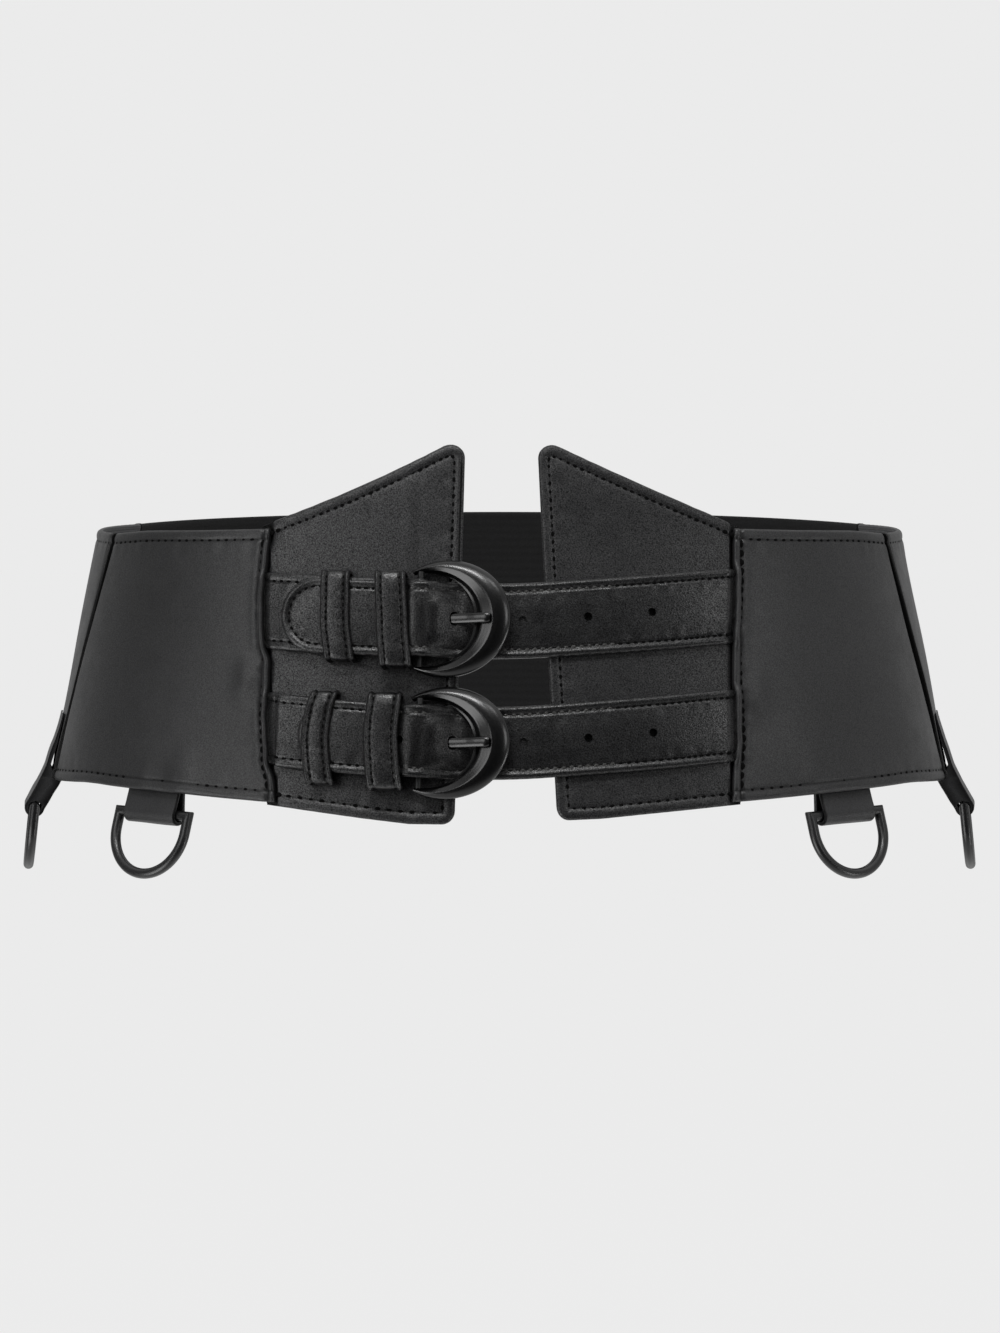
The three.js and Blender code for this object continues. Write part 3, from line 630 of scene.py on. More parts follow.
PANEL_LEATHER = leather("panel_leather", (0.01, 0.01, 0.0105), (0.017, 0.017, 0.0178),
                        rough=0.47, grain=0.9, speck=0.4)
FLAP_LEATHER = leather("flap_leather", (0.005, 0.005, 0.0054), (0.02, 0.02, 0.021),
                       rough=0.46, grain=1.8, speck=0.95)
STRAP_LEATHER = leather("strap_leather", (0.002, 0.002, 0.0022), (0.011, 0.011, 0.0116),
                        rough=0.365, grain=2.6, speck=1.0, soft=-0.13)
TAB_LEATHER = leather("tab_leather", (0.012, 0.012, 0.0128), (0.018, 0.018, 0.019),
                      rough=0.5, grain=0.5, speck=0.3)
# Black thread, darker than the black leather: partly its own colour, partly painted shade of the
# sunk stitch holes
SHADED_THREAD = thread("shaded_thread", (0.0005, 0.0005, 0.0005), (0.002, 0.002, 0.002),
                     rough=0.85, shine=0.08)
# Lighter, shinier copy of the same thread: painted highlight for stitches that catch the light
LIT_THREAD = thread("lit_thread", (0.003, 0.003, 0.003), (0.03, 0.029, 0.027),
                      rough=0.45, shine=0.5)
STRETCH = stretch_fabric("stretch_fabric")
LINING = lining_cloth("lining_cloth")
ENAMEL_BLACK = ((0.001, 0.001, 0.0011), (0.0022, 0.0022, 0.0024))
BUCKLE_ENAMEL = enamel("buckle_enamel", *ENAMEL_BLACK, rough=0.25, ripple=0.03)
BAR_ENAMEL = enamel("bar_enamel", *ENAMEL_BLACK, rough=0.5, ripple=0.03)
RING_LACQUER = enamel("ring_lacquer", (0.004, 0.004, 0.0044), (0.009, 0.009, 0.0094),
                      rough=0.34, ripple=0.12)


# Stitches

def stitch_shape():
    """One thread between two needle holes, one unit long, wide and high: points and faces."""
    rings, corners = 7, 6
    points = []
    for i in range(rings):
        t = i / (rings - 1)
        arch = math.sin(math.pi * t)
        girth = 0.35 + 0.65 * arch ** 0.5 if 0 < i < rings - 1 else 0.3
        for j in range(corners):
            turn = 2 * math.pi * j / corners
            points.append((t - 0.5, 0.5 * girth * math.cos(turn),
                           0.5 * girth * math.sin(turn) + 0.55 * arch - 0.8))
    return (np.array(points), *tube_faces(rings, corners))


def sew(name, row, runs, slot, seed, material=SHADED_THREAD):
    """All the stitches of a piece as one mesh. A run is (middles, directions, away)."""
    random = np.random.default_rng(seed)
    shape, quads, ends = stitch_shape()
    _, long, wide = ROWS[row]
    vertices, faces = [], []
    base = 0
    for middles, directions, away in runs:
        side = unit(np.cross(away, directions))
        away = unit(np.cross(directions, side))
        for middle, ahead, across, up in zip(middles, unit(directions), side, away):
            tilt = random.normal(0, 0.11)
            turned = ahead * math.cos(tilt) + across * math.sin(tilt)
            beside = across * math.cos(tilt) - ahead * math.sin(tilt)
            size = random.uniform(0.86, 1.14)
            points = (
                middle + np.outer(shape[:, 0], turned) * long * size
                + np.outer(shape[:, 1], beside) * wide + np.outer(shape[:, 2], up) * STITCH_HIGH
            )
            vertices.append(points)
            faces.extend((quads + base).tolist())
            faces.extend([[k + base for k in end] for end in ends])
            base += len(points)
    piece = new_object(f"thread_{name}", np.concatenate(vertices), faces, material)
    finish_piece(piece, BELT, slot)


def run_on(path, row, out):
    """A run of stitches on the waist surface along a path of (along, height) points."""
    knots = resample(path, ROWS[row][0])
    middles = (knots[1:] + knots[:-1]) / 2
    step = knots[1:] - knots[:-1]
    heights = out(middles) if callable(out) else np.full(len(middles), out)
    around, up, away = axes_at(middles[:, 0], middles[:, 1])
    ahead = around * step[:, :1] + up * step[:, 1:]
    return place(middles[:, 0], middles[:, 1], heights), ahead, away


def hem(distance, at, seed, inset=INSET["panel"]):
    """Relief of a turned edge: round at the rim, full up to the stitches, drawn in at them."""
    full = 0.16 * bell(distance - inset * 0.5, inset * 0.32)
    drawn = -0.22 * bell(distance - inset, 0.55)
    pucker = waves(at, seed, (5.3, 8.1, 13.7), (0.05, 0.05, 0.04))
    beside = bell(distance - inset - 1.6, 2.6) - 0.5 * bell(distance - inset * 0.5, 1.0)
    return rounded(distance, PANEL_THICK * 0.42) + full + drawn + pucker * beside


# Panels

def front_seam(side, height):
    return SEAMS[side]["front"] + SEAMS[side]["front_step"] * (PANEL_TOP - height)


def back_seam(side, height):
    return SEAMS[side]["back"] + SEAMS[side]["back_step"] * (PANEL_TOP - height)


def strap_zone(side, height):
    """1 where a strap runs into the seam and lifts its fold."""
    return sum(rising(height, low - 1.5, low + 1.0) * rising(height, high + 1.5, high - 1.0)
               for high, low in STRAP_ZONES[side])


def fold_edge(side, height):
    """Where the turned edge of a side panel ends, next to the front panel."""
    shift = smooth_read(height, *zip(*FOLD_SHIFT[side]))
    wobble = waves(height, 11 + (side == "right"), (7.0, 12.0), (0.06, 0.08))
    return front_seam(side, height) + shift + wobble - FOLD_WIDE[side] / 2


def sewn_end(side, height):
    """Where a strap ends, hidden in the fold over the front seam."""
    return fold_edge(side, height) + 0.8


def front_edges(side, from_edge):
    rise, flatten, peak, foot = (FRONT[side][key] for key in ("rise", "flatten", "peak", "foot"))
    slant = math.hypot(1, rise)
    r = FRONT_CORNER
    centre = peak - rise * r - r * slant
    tangent = r + r * rise / slant
    arc = centre + np.sqrt(np.maximum(r * r - (from_edge - r) ** 2, 0))
    slope = peak - rise * from_edge + flatten * from_edge ** 2
    bottom = np.interp(from_edge, FRONT_FOOT_AT, foot) - rounded(from_edge, r)
    return np.where(from_edge < tangent, arc, slope), bottom


def front_along(side, share, height):
    top, bottom = FRONT_EDGE
    down = np.clip((top - height) / (top - bottom), 0, 1)
    edge = mix(FRONT[side]["edge_top"], FRONT[side]["edge_bottom"], down)
    return mix(edge, front_seam(side, height) + 1.6, share)


def inner_side(distance, at, inset=INSET["panel"]):
    """A panel's inner side: its thickness in, and rounded at the rim."""
    return -PANEL_THICK - np.minimum(hem(distance, at, 23, inset), 0)


def make_panel(name, sign, along, height, relief, inner, painted_shade, material):
    """The panel laid on the waist surface, on its side of the belt."""
    uv = np.stack([sign * along, height], axis=-1)
    front, back = (place(sign * along, height, out) for out in (relief, inner))
    piece = slab(name, front, back, material, uv, painted_shade=painted_shade, lining=LINING)
    finish_piece(piece, BELT, "panel_leather", name)


def front_panel(side):
    sign, name, right = SIDES[side], f"front_panel_{side}", side == "right"
    seam, inset = SEAMS[side], INSET["flap"]
    width = seam["front"] + seam["front_step"] * PANEL_TOP - FRONT[side]["edge_top"]
    from_edge = np.concatenate([EDGE_STEPS, np.linspace(EDGE_STEPS[-1], width, 52)[1:]])
    top, bottom = front_edges(side, from_edge)
    height = spread(bottom, top, 84)
    along = front_along(side, (from_edge / width)[:, None], height)

    # The outline runs inward along the foot, up the inner edge and outward along the top
    run = np.linspace(0, 1, 500)
    foot_from, top_from = width * (1 - run), width * run
    corner_high, corner_low = front_edges(side, 0.0)
    outline = resample(np.concatenate([
        np.stack([front_along(side, start / width, high), high], axis=1)
        for start, high in (
            (foot_from, front_edges(side, foot_from)[1]),
            (0.0, np.linspace(corner_low, corner_high, 500)[1:-1]),
            (top_from, front_edges(side, top_from)[0]),
        )
    ]))
    distance, at = nearest_on(np.stack([along, height], axis=-1), outline)
    relief = hem(distance, at, 21 + right, inset)
    # The left flap has a crease near its inner edge and a soft ridge in its upper part
    inner_edge = rising(along, 20, 16) * rising(height, -36, -30) * rising(height, 66, 60)
    if not right:
        upper = rising(height, 20, 32)
        relief = relief - 0.42 * bell(distance - 1.05, 0.28) * inner_edge
        relief = relief + 0.12 * bell(along - 28.2, 2.4) * upper
        relief = relief - 0.16 * bell(along - 25.6, 1.3) * upper
    relief = relief + dune(along, height, 31 + right, 42, 0.16) * rising(distance, 2, 9)
    # The panel sinks into the groove beside the fold of the side panel. Painted shade darkens that
    # groove and the panel's stitch line.
    to_fold = along - fold_edge(side, height)
    relief = relief - 0.3 * rising(to_fold, -5, -1.2) - 1.1 * rising(to_fold, -1.2, -0.3)
    painted_shade = np.maximum(0.4 * bell(distance - inset, 0.45), 0.95 * rising(to_fold, -1.25, -0.45))
    # Painted shade: the right flap is a little darker all over, where less light falls on it, and
    # the left flap's fold near its inner edge is painted dark
    painted_shade = np.maximum(painted_shade, 0.13 if right else 0.9 * bell(distance - 1.05, 0.3) * inner_edge)
    inner = inner_side(distance, at, inset)
    make_panel(name, sign, along, height, relief, inner, painted_shade, FLAP_LEATHER)

    line = inset_path(outline, -inset)
    line = line[line[:, 0] < front_seam(side, line[:, 1]) - 0.5] * [sign, 1]
    corner = np.argmax(line[:, 1] > -34.5)
    foot = f"foot_{side}"
    sew(f"{name}_foot", foot, [run_on(line[:corner], foot, -0.12)], "panel_leather", 43)
    sew(name, "flap", [run_on(line[corner:], "flap", -0.1)], "panel_leather", 41 + right)


def side_share_edges(share):
    """Upper and lower edge of a side panel, by the share of its way forward."""
    return [even_read(share, SIDE_EDGES["across"], SIDE_EDGES[key], 1 / 40)
            for key in ("top", "bottom")]


def between_edges(along, height):
    """Both long edges of a grid, how far each point is from the nearer, and where on it."""
    grid = np.stack([along, height], axis=-1)
    edges = [resample(grid[:, row]) for row in (0, -1)]
    (low_far, low_at), (high_far, high_at) = (nearest_on(grid, edge) for edge in edges)
    at = np.where(low_far < high_far, low_at, high_at + 200)
    return edges, np.minimum(low_far, high_far), at


def edge_runs(side, edges, way, start, end, out):
    """Stitches along both long edges of a panel, between its seams."""
    runs = []
    for path, turn in zip(edges, (way, -way)):
        line = inset_path(path, turn * INSET["panel"])
        line = line[(line[:, 0] > start(side, line[:, 1]) + 3) & (line[:, 0] < end(line[:, 1]))]
        runs.append(run_on(line * [SIDES[side], 1], "edge", out))
    return runs


def side_panel(side):
    sign, name, right = SIDES[side], f"side_panel_{side}", side == "right"
    width = SEAMS[side]["back"] - SEAMS[side]["front"]
    share = spread(0, width, 54) / width
    top, bottom = side_share_edges(share)
    height = spread(bottom, top, 62)
    back, fold = back_seam(side, height), fold_edge(side, height)
    along = mix(back, fold, share[:, None])
    edges, distance, at = between_edges(along, height)
    seed = 51 + right
    relief = hem(distance, at, seed)
    relief = relief + dune(along, height, seed + 2, 55, 0.22) * rising(distance, 2, 10)

    # Turned edge over the front seam: a round fold, then the stitch valley
    e = along - fold
    zone = strap_zone(side, height)
    half = FOLD_WIDE[side] / 2
    round_fold = (0.75 + 0.85 * zone) * np.sqrt(np.clip(1 - ((e - half) / half) ** 2, 0, 1))
    beside = FOLD_WIDE[side] + 0.45
    valley = -0.34 * bell(e - beside, 0.42) + 0.12 * bell(e - beside - 1.5, 1.0)
    tuck = 0.12 * zone * bell(e - 3.6, 1.6)
    pucker = waves(height, seed + 4, (3.3, 5.2, 8.7), (0.05, 0.06, 0.05))
    # The panel swells where the straps pull on its seam
    swell = 1.05 * bell(e - 7.0, 3.4) * bell(height + (7.5 if right else 2.5), 6.0)
    relief = relief + round_fold + valley + tuck + pucker * bell(e - beside - 1.6, 1.8) + swell
    # Painted shade along the stitch lines and in the stitch valley
    painted_shade = np.maximum(0.5 * bell(distance - INSET["panel"], 0.5), 0.2 * bell(e - beside, 0.42))
    # Turned down into the groove of the back seam, with painted shade in the groove
    g = back - along
    groove = 0.95 + 1.0 * bell(height + 5, 28)
    relief = relief - 1.6 * (1 - rising(g, 0.2 * groove, groove + 0.7))
    painted_shade = np.maximum(painted_shade, 1 - rising(g, groove - 0.2, groove + 0.5))
    # Pull marks where the tab of the front ring is sewn on behind
    for spot, size in ((93.5, 0.6), (107.5, 0.4)):
        relief = relief + size * bell(along - spot, 4.2) * rising(height, -18, -32)
    inner = inner_side(distance, at)
    make_panel(name, sign, along, height, relief, inner, painted_shade, PANEL_LEATHER)

    runs = edge_runs(side, edges, -1, front_seam, lambda z: back_seam(side, z) - 2, -0.12)
    sew(name, "edge", runs, "panel_leather", seed + 6)
    tall = np.linspace(-34.5, 39, 200)
    row = np.stack([sign * (fold_edge(side, tall) + beside), tall], axis=1)
    sew(f"{name}_seam", "seam", [run_on(row, "seam", 0.0)], "panel_leather", seed + 7)


def back_side_panel(side):
    sign, name = SIDES[side], f"back_side_panel_{side}"
    width = BACK_SEAM - SEAMS[side]["back"] - 0.6
    share = spread(0, width, 60) / width
    edges = side_share_edges(0.0)
    top, bottom = mix(edges[0], BACK["seam_top"], share), mix(edges[1], BACK["bottom"], share)
    height = spread(bottom, top, 58)
    # It starts a little under the side panel and ends on the stretch fabric
    start, end = back_seam(side, height) - 0.5, BACK_SEAM + BACK["overlap"]
    along = mix(start, end, share[:, None])
    edges, distance, at = between_edges(along, height)
    inset, seed = INSET["panel"], 61 + (side == "right")
    relief = hem(distance, at, seed) - BACK["side_inset"]
    relief = relief + dune(along, height, seed + 2, 50, 0.2) * rising(distance, 2, 10)
    # Narrow fold beside the groove of the seam, with a crease behind it
    g = along - start - 0.8
    relief = relief - 1.7 * (1 - rising(g, -0.1, 1.0))
    relief = relief + 0.5 * bell(g - 1.5, 0.8) - 0.3 * bell(g - 2.9, 0.5)
    # The rear edge lies on the stretch fabric, sewn down
    rear = end - along
    relief = relief + 0.9 * rising(rear, 5.5, 2.5) - 0.9 * bell(rear, 0.35)
    relief = relief - 0.25 * bell(rear - inset, 0.5)
    # Painted shade along both stitch lines, in the groove of the seam and in the crease behind the
    # fold
    dark_to = 0.6 + 0.5 * bell(height + 5, 28)
    painted_shade = np.maximum.reduce([
        0.5 * bell(distance - inset, 0.5), 0.5 * bell(rear - inset, 0.5),
        1 - rising(g, dark_to, dark_to + 0.5), 0.45 * bell(g - 2.9, 0.4),
    ])
    inner = np.minimum(inner_side(distance, at) + 1.9 * rising(rear, 3.4, 1.8), relief - 0.1)
    make_panel(name, sign, along, height, relief, inner, painted_shade, PANEL_LEATHER)

    runs = edge_runs(side, edges, 1, back_seam, lambda z: BACK_SEAM - 1.5, -0.3)
    tall = np.linspace(BACK["bottom"] + 1.5, BACK["seam_top"] - 1.5, 100)
    rear_line = np.stack([np.full(100, sign * (end - inset)), tall], axis=1)
    runs.append(run_on(rear_line, "edge", 0.55))
    sew(name, "edge", runs, "panel_leather", seed + 6)


def elastic_back():
    wide = 2 * (HALF_ROUND - BACK_SEAM)
    share = np.linspace(0, 1, 180)
    top = mix(BACK["seam_top"], BACK["top"], np.sin(np.pi * share))
    height = spread(np.full(len(share), BACK["bottom"]), top, 60)
    along = np.broadcast_to((BACK_SEAM + wide * share)[:, None], height.shape)
    distance = np.minimum(height - BACK["bottom"], top[:, None] - height)
    # Woven edges: a flat selvage, then the ribbed ground
    relief = -BACK["inset"] - 0.35 * bell(distance, 0.3) + 0.16 * bell(distance - 1.6, 1.1)
    relief = relief - 0.12 * bell(distance - 3.4, 0.35)
    inner = -BACK["inset"] - BACK["thick"] + 0.35 * bell(distance, 0.3)
    inner = inner - 0.14 * bell(distance - 1.6, 1.1)
    sag = dune(along, height, 71, 70, 0.22)
    front, back = (place(along, height, out + sag) for out in (relief, inner))
    piece = slab("elastic_back", front, back, STRETCH, np.stack([along, height], axis=-1))
    finish_piece(piece, BELT, "elastic", "elastic_back")


# Straps

def strap_relief(distance, at, along, cross, seed):
    inset = INSET["strap"]
    bead = 0.2 * bell(distance - 1.1, 0.62)
    drawn = -0.3 * bell(distance - inset, 0.48)
    crown = 0.22 * rising(distance, inset, 8)
    pucker = waves(at, seed, (4.3, 6.1, 9.7), (0.04, 0.05, 0.04))
    pucker = pucker * bell(distance - inset - 1.2, 1.8)
    soft = dune(along, cross, seed + 1, 22, 0.03)
    # Crushed grain where the strap bends through the buckle
    bend = rising(along, -31, -25) * rising(along, -4, -10)
    crush = dune(along, cross * 0.35, seed + 2, 3.4, 0.02, 8) * bend * rising(distance, 0.4, 2)
    ahead = rising(along, -10, 2) * rising(along, 30, 8)
    crush = crush + dune(along, cross, seed + 3, 4.5, 0.012, 8) * ahead
    return bead + rounded(distance, 0.7) + drawn + crown + pucker + soft + crush


def strap_shade(distance, to_fold):
    """Painted shade along the stitches and where the strap goes in under the fold."""
    stitched = 0.55 * bell(distance - INSET["strap"], 0.45)
    return np.maximum(stitched, 0.95 * rising(to_fold, -1.3, -0.5))


def thinned(to_fold):
    return UNDER_FOLD * rising(to_fold, -3.4, -0.3)


def strap_lift(along):
    return smooth_read(along, *STRAP_LIFT)


def long_strap(level):
    name = f"{level}_strap"
    shape = STRAPS[level]
    half, end, tip = (shape[key] for key in ("half", "end", "tip"))
    seed = 81 + (level == "lower")
    sewn = end + 1.2
    turn = np.linspace(0.03, math.pi / 2, 26)
    tongue = tip + STRAP["tip_radius"] * (1 - np.cos(turn))
    body = [np.arange(tongue[-1] + 0.7, end - 3, 0.7), np.arange(end - 3, sewn - 0.1, 0.3)]
    along = np.concatenate([tongue, *body, [sewn]])
    halves = np.full(len(along), half)
    halves[:len(turn)] = half * np.sin(turn)
    cross = spread(-half, half, 18)[None, :] * (halves / half)[:, None]
    height = strap_middle(level, along)[:, None] + cross

    def slant(at, spot_height):
        """How far the sewn end bends, to follow the slanted seam in under its fold."""
        return rising(at, end - SLANT_FROM, end) * (sewn_end("right", spot_height) - sewn)

    fitted = along[:, None] + slant(along[:, None], height)

    arc = np.linspace(math.pi / 2, 0, 120)
    side_at = np.arange(sewn, tongue[-1], -OUTLINE_STEP)
    upper_half = np.concatenate([
        np.stack([side_at, np.full(len(side_at), half)], axis=1),
        np.stack([tip + STRAP["tip_radius"] * (1 - np.cos(arc)), half * np.sin(arc)], axis=1),
    ])
    outline = resample(np.concatenate([upper_half, (upper_half * [1, -1])[::-1]]))
    at_along = np.broadcast_to(along[:, None], cross.shape)
    distance, at = nearest_on(np.stack([at_along, cross], axis=-1), outline)
    # The middle comes down later than the sides, over the prong, which comes out through it
    late = smooth_read(at_along - LATE_FALL, *STRAP_LIFT, 3.0)
    centre = np.exp(-(cross / 7.6) ** 6) * rising(at_along, -24, -21)
    lift = mix(strap_lift(at_along), late, centre)
    to_fold = fitted - fold_edge("right", height)
    top = lift + (STRAP["thick"] - thinned(to_fold))
    top = top + strap_relief(distance, at, at_along, cross, seed)
    # Painted shade: darker, and less glossy, inside the buckle
    wear_and_shade = shape["buckle_shade"] * rising(at_along, -36, -30) * rising(at_along, -2, -8)
    painted_shade = np.maximum(strap_shade(distance, to_fold), wear_and_shade)
    front = place(fitted, height, top)
    back = place(fitted, height, np.minimum(lift - rounded(distance, 0.6), top - 0.1))
    uv = np.stack([fitted, height], axis=-1)
    piece = slab(name, front, back, STRAP_LEATHER, uv, painted_shade=painted_shade)
    dent = shape["dent"]
    dent_out = float(strap_lift(dent)) + STRAP["thick"] + HOLE["dent_rise"]
    tools = [hole_tool(level, spot, HOLE["deep"], HOLE["out"]) for spot in shape["holes"]]
    tools.append(hole_tool(level, dent, HOLE["dent_deep"], dent_out))
    tools.append(prong_mesh(level, STRAP["slot_spare"], f"{level}_slot_tool", STRAP_LEATHER))
    cut(piece, tools)
    finish_piece(piece, BELT, "strap_leather", name)

    def on_strap(points):
        x, y = points.T
        y = strap_middle(level, x) + y
        return x + slant(x, y), y

    line = inset_path(outline, INSET["strap"])
    knots = resample(line[line[:, 0] < end - 1.0], ROWS["strap"][0])
    middles, step = (knots[1:] + knots[:-1]) / 2, knots[1:] - knots[:-1]
    onward = middles + step * 0.1
    lifts, onward_lifts = (strap_lift(x[:, 0]) + STRAP["thick"] - 0.1 for x in (middles, onward))
    here = place(*on_strap(middles), lifts - thinned(middles[:, 0] - sewn + 0.8))
    ahead = place(*on_strap(onward), onward_lifts) - here
    away = axes_at(*on_strap(middles))[2]
    # Painted highlight: the stitches on the stretch near the buckle get the lighter, shinier
    # thread, the rest the darker one
    bright = (middles[:, 0] > -30) & (middles[:, 0] < 34)
    for label, chosen, material in (("near", bright, LIT_THREAD), ("far", ~bright, SHADED_THREAD)):
        run = (here[chosen], ahead[chosen], away[chosen])
        sew(f"{name}_{label}", "strap", [run], "strap_leather", seed + 5, material)


def hole_tool(level, along, deep, out):
    turn = circle(24)
    ring = np.stack([np.cos(turn), np.sin(turn), np.zeros(len(turn))], axis=1) * HOLE["radius"]
    sections = [ring + [0, 0, z] for z in (-deep / 2, deep / 2)]
    tool = sweep(f"{level}_hole_tool", sections, STRAP_LEATHER)
    return move(tool, local_frame(along, float(strap_middle(level, along)), out))


def bar_place(level, high):
    """Where a point of the buckle's bar lies on the waist surface."""
    spot = BUCKLES[level]
    point = buckle_frame(level) @ Vector((BAR_ALONG, high, 0))
    guess = (spot["along"] + BAR_ALONG, spot["height"] + high, BUCKLE["bar_out"])
    return coordinates_of(np.array(point), *guess)


def strip(path, thick):
    """The two faces of a strip of leather along a plane path."""
    normal = left_of(path) * thick / 2
    return path + normal, path - normal


def base_strap(level):
    """Short strap under the tongue, folded round the buckle's bar."""
    name = f"{level}_buckle_strap"
    half, raised = BASE_STRAPS[level]["half"], BASE_STRAPS[level]["raised"]
    seed = 91 + (level == "lower")
    thick = BASE["thick"]
    around = BUCKLE["bar_radius"] + BUCKLE["clear"] + thick / 2

    def lies_out(at, share):
        """Out of a layer of the strap, by the share of its thickness. It is less at the seam."""
        return mix(BASE["seam_out"], BASE["out"], rising(at, -72, -63)) + thick * share

    def to_seam(at, height):
        """The sewn end follows the slanted seam and runs in under its fold."""
        sewn = rising(at, -62, BASE["seam_end"])
        return at + sewn * (-sewn_end("left", height) - BASE["seam_end"] + BASE["under"])

    cross = spread(-half, half, 14)
    bars = [np.array(bar_place(level, raised + sign * half)) for sign in (-1, 1)]
    even = np.linspace(0, 1, 110)
    turn = np.radians(np.linspace(115, -120, 20))
    columns = []
    for value in cross:
        along, _, out = mix(bars[0], bars[1], (value + half) / (2 * half))
        run = np.arange(BASE["seam_end"] - BASE["under"], along - BASE["fold_start"], 0.8)
        fold = np.stack([along + around * np.cos(turn), out + around * np.sin(turn)], axis=1)
        flat = np.stack([run, lies_out(run, 0.5)], axis=1)
        path = resample(np.concatenate([flat, fold]), 0.7)
        at = np.linspace(0, 1, len(path))
        columns.append(np.stack([np.interp(even, at, path[:, k]) for k in (0, 1)], axis=1))
    plus, minus = (np.stack(face, axis=1) for face in zip(*(strip(c, thick) for c in columns)))
    cross = np.broadcast_to(cross[None, :], plus.shape[:2])
    distance = half - np.abs(cross)
    relief = strap_relief(distance, plus[..., 0], plus[..., 0] - 60, cross, seed)
    outward = unit(plus - minus) * (relief * 0.8)[..., None]
    faces, folds = [], []
    for point in (plus + outward, minus):
        height = strap_middle(level, point[..., 0]) + raised + cross
        along = to_seam(point[..., 0], height)
        folds.append(-along - fold_edge("left", height))
        faces.append(place(along, height, point[..., 1] - 0.8 * rising(folds[-1], -2.4, -0.3)))
    piece = slab(name, *faces, STRAP_LEATHER, painted_shade=strap_shade(distance, folds[0]))
    cut(piece, [box_tool((9, 4.4, 12), (BAR_ALONG + 1.2, 0, 0), buckle_frame(level))])
    finish_piece(piece, BELT, "strap_leather", name)

    runs = []
    for sign in (-1, 1):
        at = np.linspace(-70.5, -46, 60)
        middle = strap_middle(level, at) + raised + sign * (half - INSET["strap"])
        along, out = to_seam(at, middle), lies_out(at, 1)
        path = np.stack([along, middle], axis=1)
        runs.append(run_on(path, "base", lambda m: np.interp(m[:, 0], along, out) - 0.08))
    sew(name, "base", runs, "strap_leather", seed + 5)


def box_tool(size, middle, matrix):
    half = (-0.5, 0.5)
    corners = np.array([(x, y, z) for x in half for y in half for z in half])
    faces = [[0, 1, 3, 2], [4, 6, 7, 5], [0, 4, 5, 1], [2, 3, 7, 6], [0, 2, 6, 4], [1, 5, 7, 3]]
    return move(new_object("box_tool", corners * size + middle, faces, STRAP_LEATHER), matrix)


def keeper(name):
    """Strap loop: a band with turned edges, closed round both straps."""
    shape = KEEPERS[name]
    front, high, low, width = (shape[key] for key in ("front", "high", "low", "width"))
    corner, thick, inset = KEEPER["corner"], KEEPER["thick"], INSET["keeper"]
    outer, inner = front + thick - corner, KEEPER["inner"] + corner
    seed = 100 + sum(map(ord, name))
    loop = []

    def straight(start, end, out, turn, count):
        for share in np.linspace(0, 1, count + 2)[1:-1]:
            loop.append((mix(start, end, share), out, turn))

    def bend(height, out, start):
        for turn in np.radians(np.linspace(start, start + 90, 9)):
            loop.append((height, out, turn))

    bend(high - corner, outer, 0)
    straight(high - corner, low + corner, outer, math.pi / 2, 60)
    bend(low + corner, outer, 90)
    bend(low + corner, inner, 180)
    straight(low + corner, high - corner, inner, -math.pi / 2, 12)
    bend(high - corner, inner, 270)
    height, out, turn = (np.array(column)[:, None] for column in zip(*loop))
    cross = np.linspace(-1, 1, 46)
    cross = (np.sign(cross) * np.abs(cross) ** 0.8 * width / 2)[None, :]
    distance = width / 2 - np.abs(cross)
    relief = rounded(distance, 0.55) + 0.42 * bell(distance - 0.8, 0.45)
    relief = relief - 0.26 * bell(distance - inset, 0.36) + 0.1 * rising(distance, inset, 4)
    around = np.arange(len(loop))[:, None] * 0.45
    pucker = waves(around, seed, (3.1, 5.3, 8.9), (0.03, 0.04, 0.04))
    relief = relief + pucker * bell(distance - inset, 1.4)

    def wander(z):
        return waves(z, seed + 1, (14.0, 23.0), (0.07, 0.1))

    def middle_at(z):
        rise = (z - low) / (high - low)
        return mix(shape["bottom"], shape["top"], rise) + shape["bow"] * 4 * rise * (1 - rise)

    def rounded_back(z):
        """How far the front lies back, near the bends at its top and bottom."""
        near = np.clip(1 - np.minimum(high - z, z - low) / ROUND_FROM, 0, 1)
        return ROUND_DROP * (1 - np.sqrt(1 - near ** 2))

    def wall(depth, lift):
        reach = corner - depth + lift
        z = height + reach * np.cos(turn)
        along = middle_at(z) + cross + wander(height)
        away = out + reach * np.sin(turn)
        share = np.clip((away - KEEPER["inner"]) / front, 0, 1)
        return place(along, z, away - rounded_back(z) * share)

    # Painted shade along the stitch lines
    painted_shade = 0.75 * bell(distance - inset, 0.34)
    piece = slab(name, wall(0, relief), wall(thick, 0), STRAP_LEATHER, closed=True, painted_shade=painted_shade)
    finish_piece(piece, BELT, "strap_leather", name)

    z = np.linspace(high - 1.2, low + 1.2, 100)
    runs = [
        run_on(np.stack([middle_at(z) + sign * (width / 2 - inset) + wander(z), z], axis=1),
               "keeper", lambda m: front + thick - 0.12 - rounded_back(m[:, 1]))
        for sign in (-1, 1)
    ]
    sew(name, "keeper", runs, "strap_leather", seed + 2)


# Buckles

def buckle_frame(level):
    spot = BUCKLES[level]
    slope = (BUCKLE["bow_out"] - BUCKLE["bar_out"]) / (BUCKLE["across"] - BAR_ALONG)
    middle = BUCKLE["bar_out"] - BAR_ALONG * slope
    tilt = Matrix.Rotation(-math.atan(slope), 4, "Y")
    return local_frame(spot["along"], spot["height"], middle) @ tilt


def round_section(points, count):
    """A closed section read as a smooth curve through its points."""
    points = np.asarray(points, float)
    size = len(points)
    at = np.arange(count) / count * size
    index = at.astype(int)
    t = (at - index)[:, None]
    a, b, c, d = (points[(index + k) % size] for k in (-1, 0, 1, 2))
    square, cube = 2 * a - 5 * b + 4 * c - d, 3 * b - a - 3 * c + d
    return 0.5 * (2 * b + (c - a) * t + square * t ** 2 + cube * t ** 3)


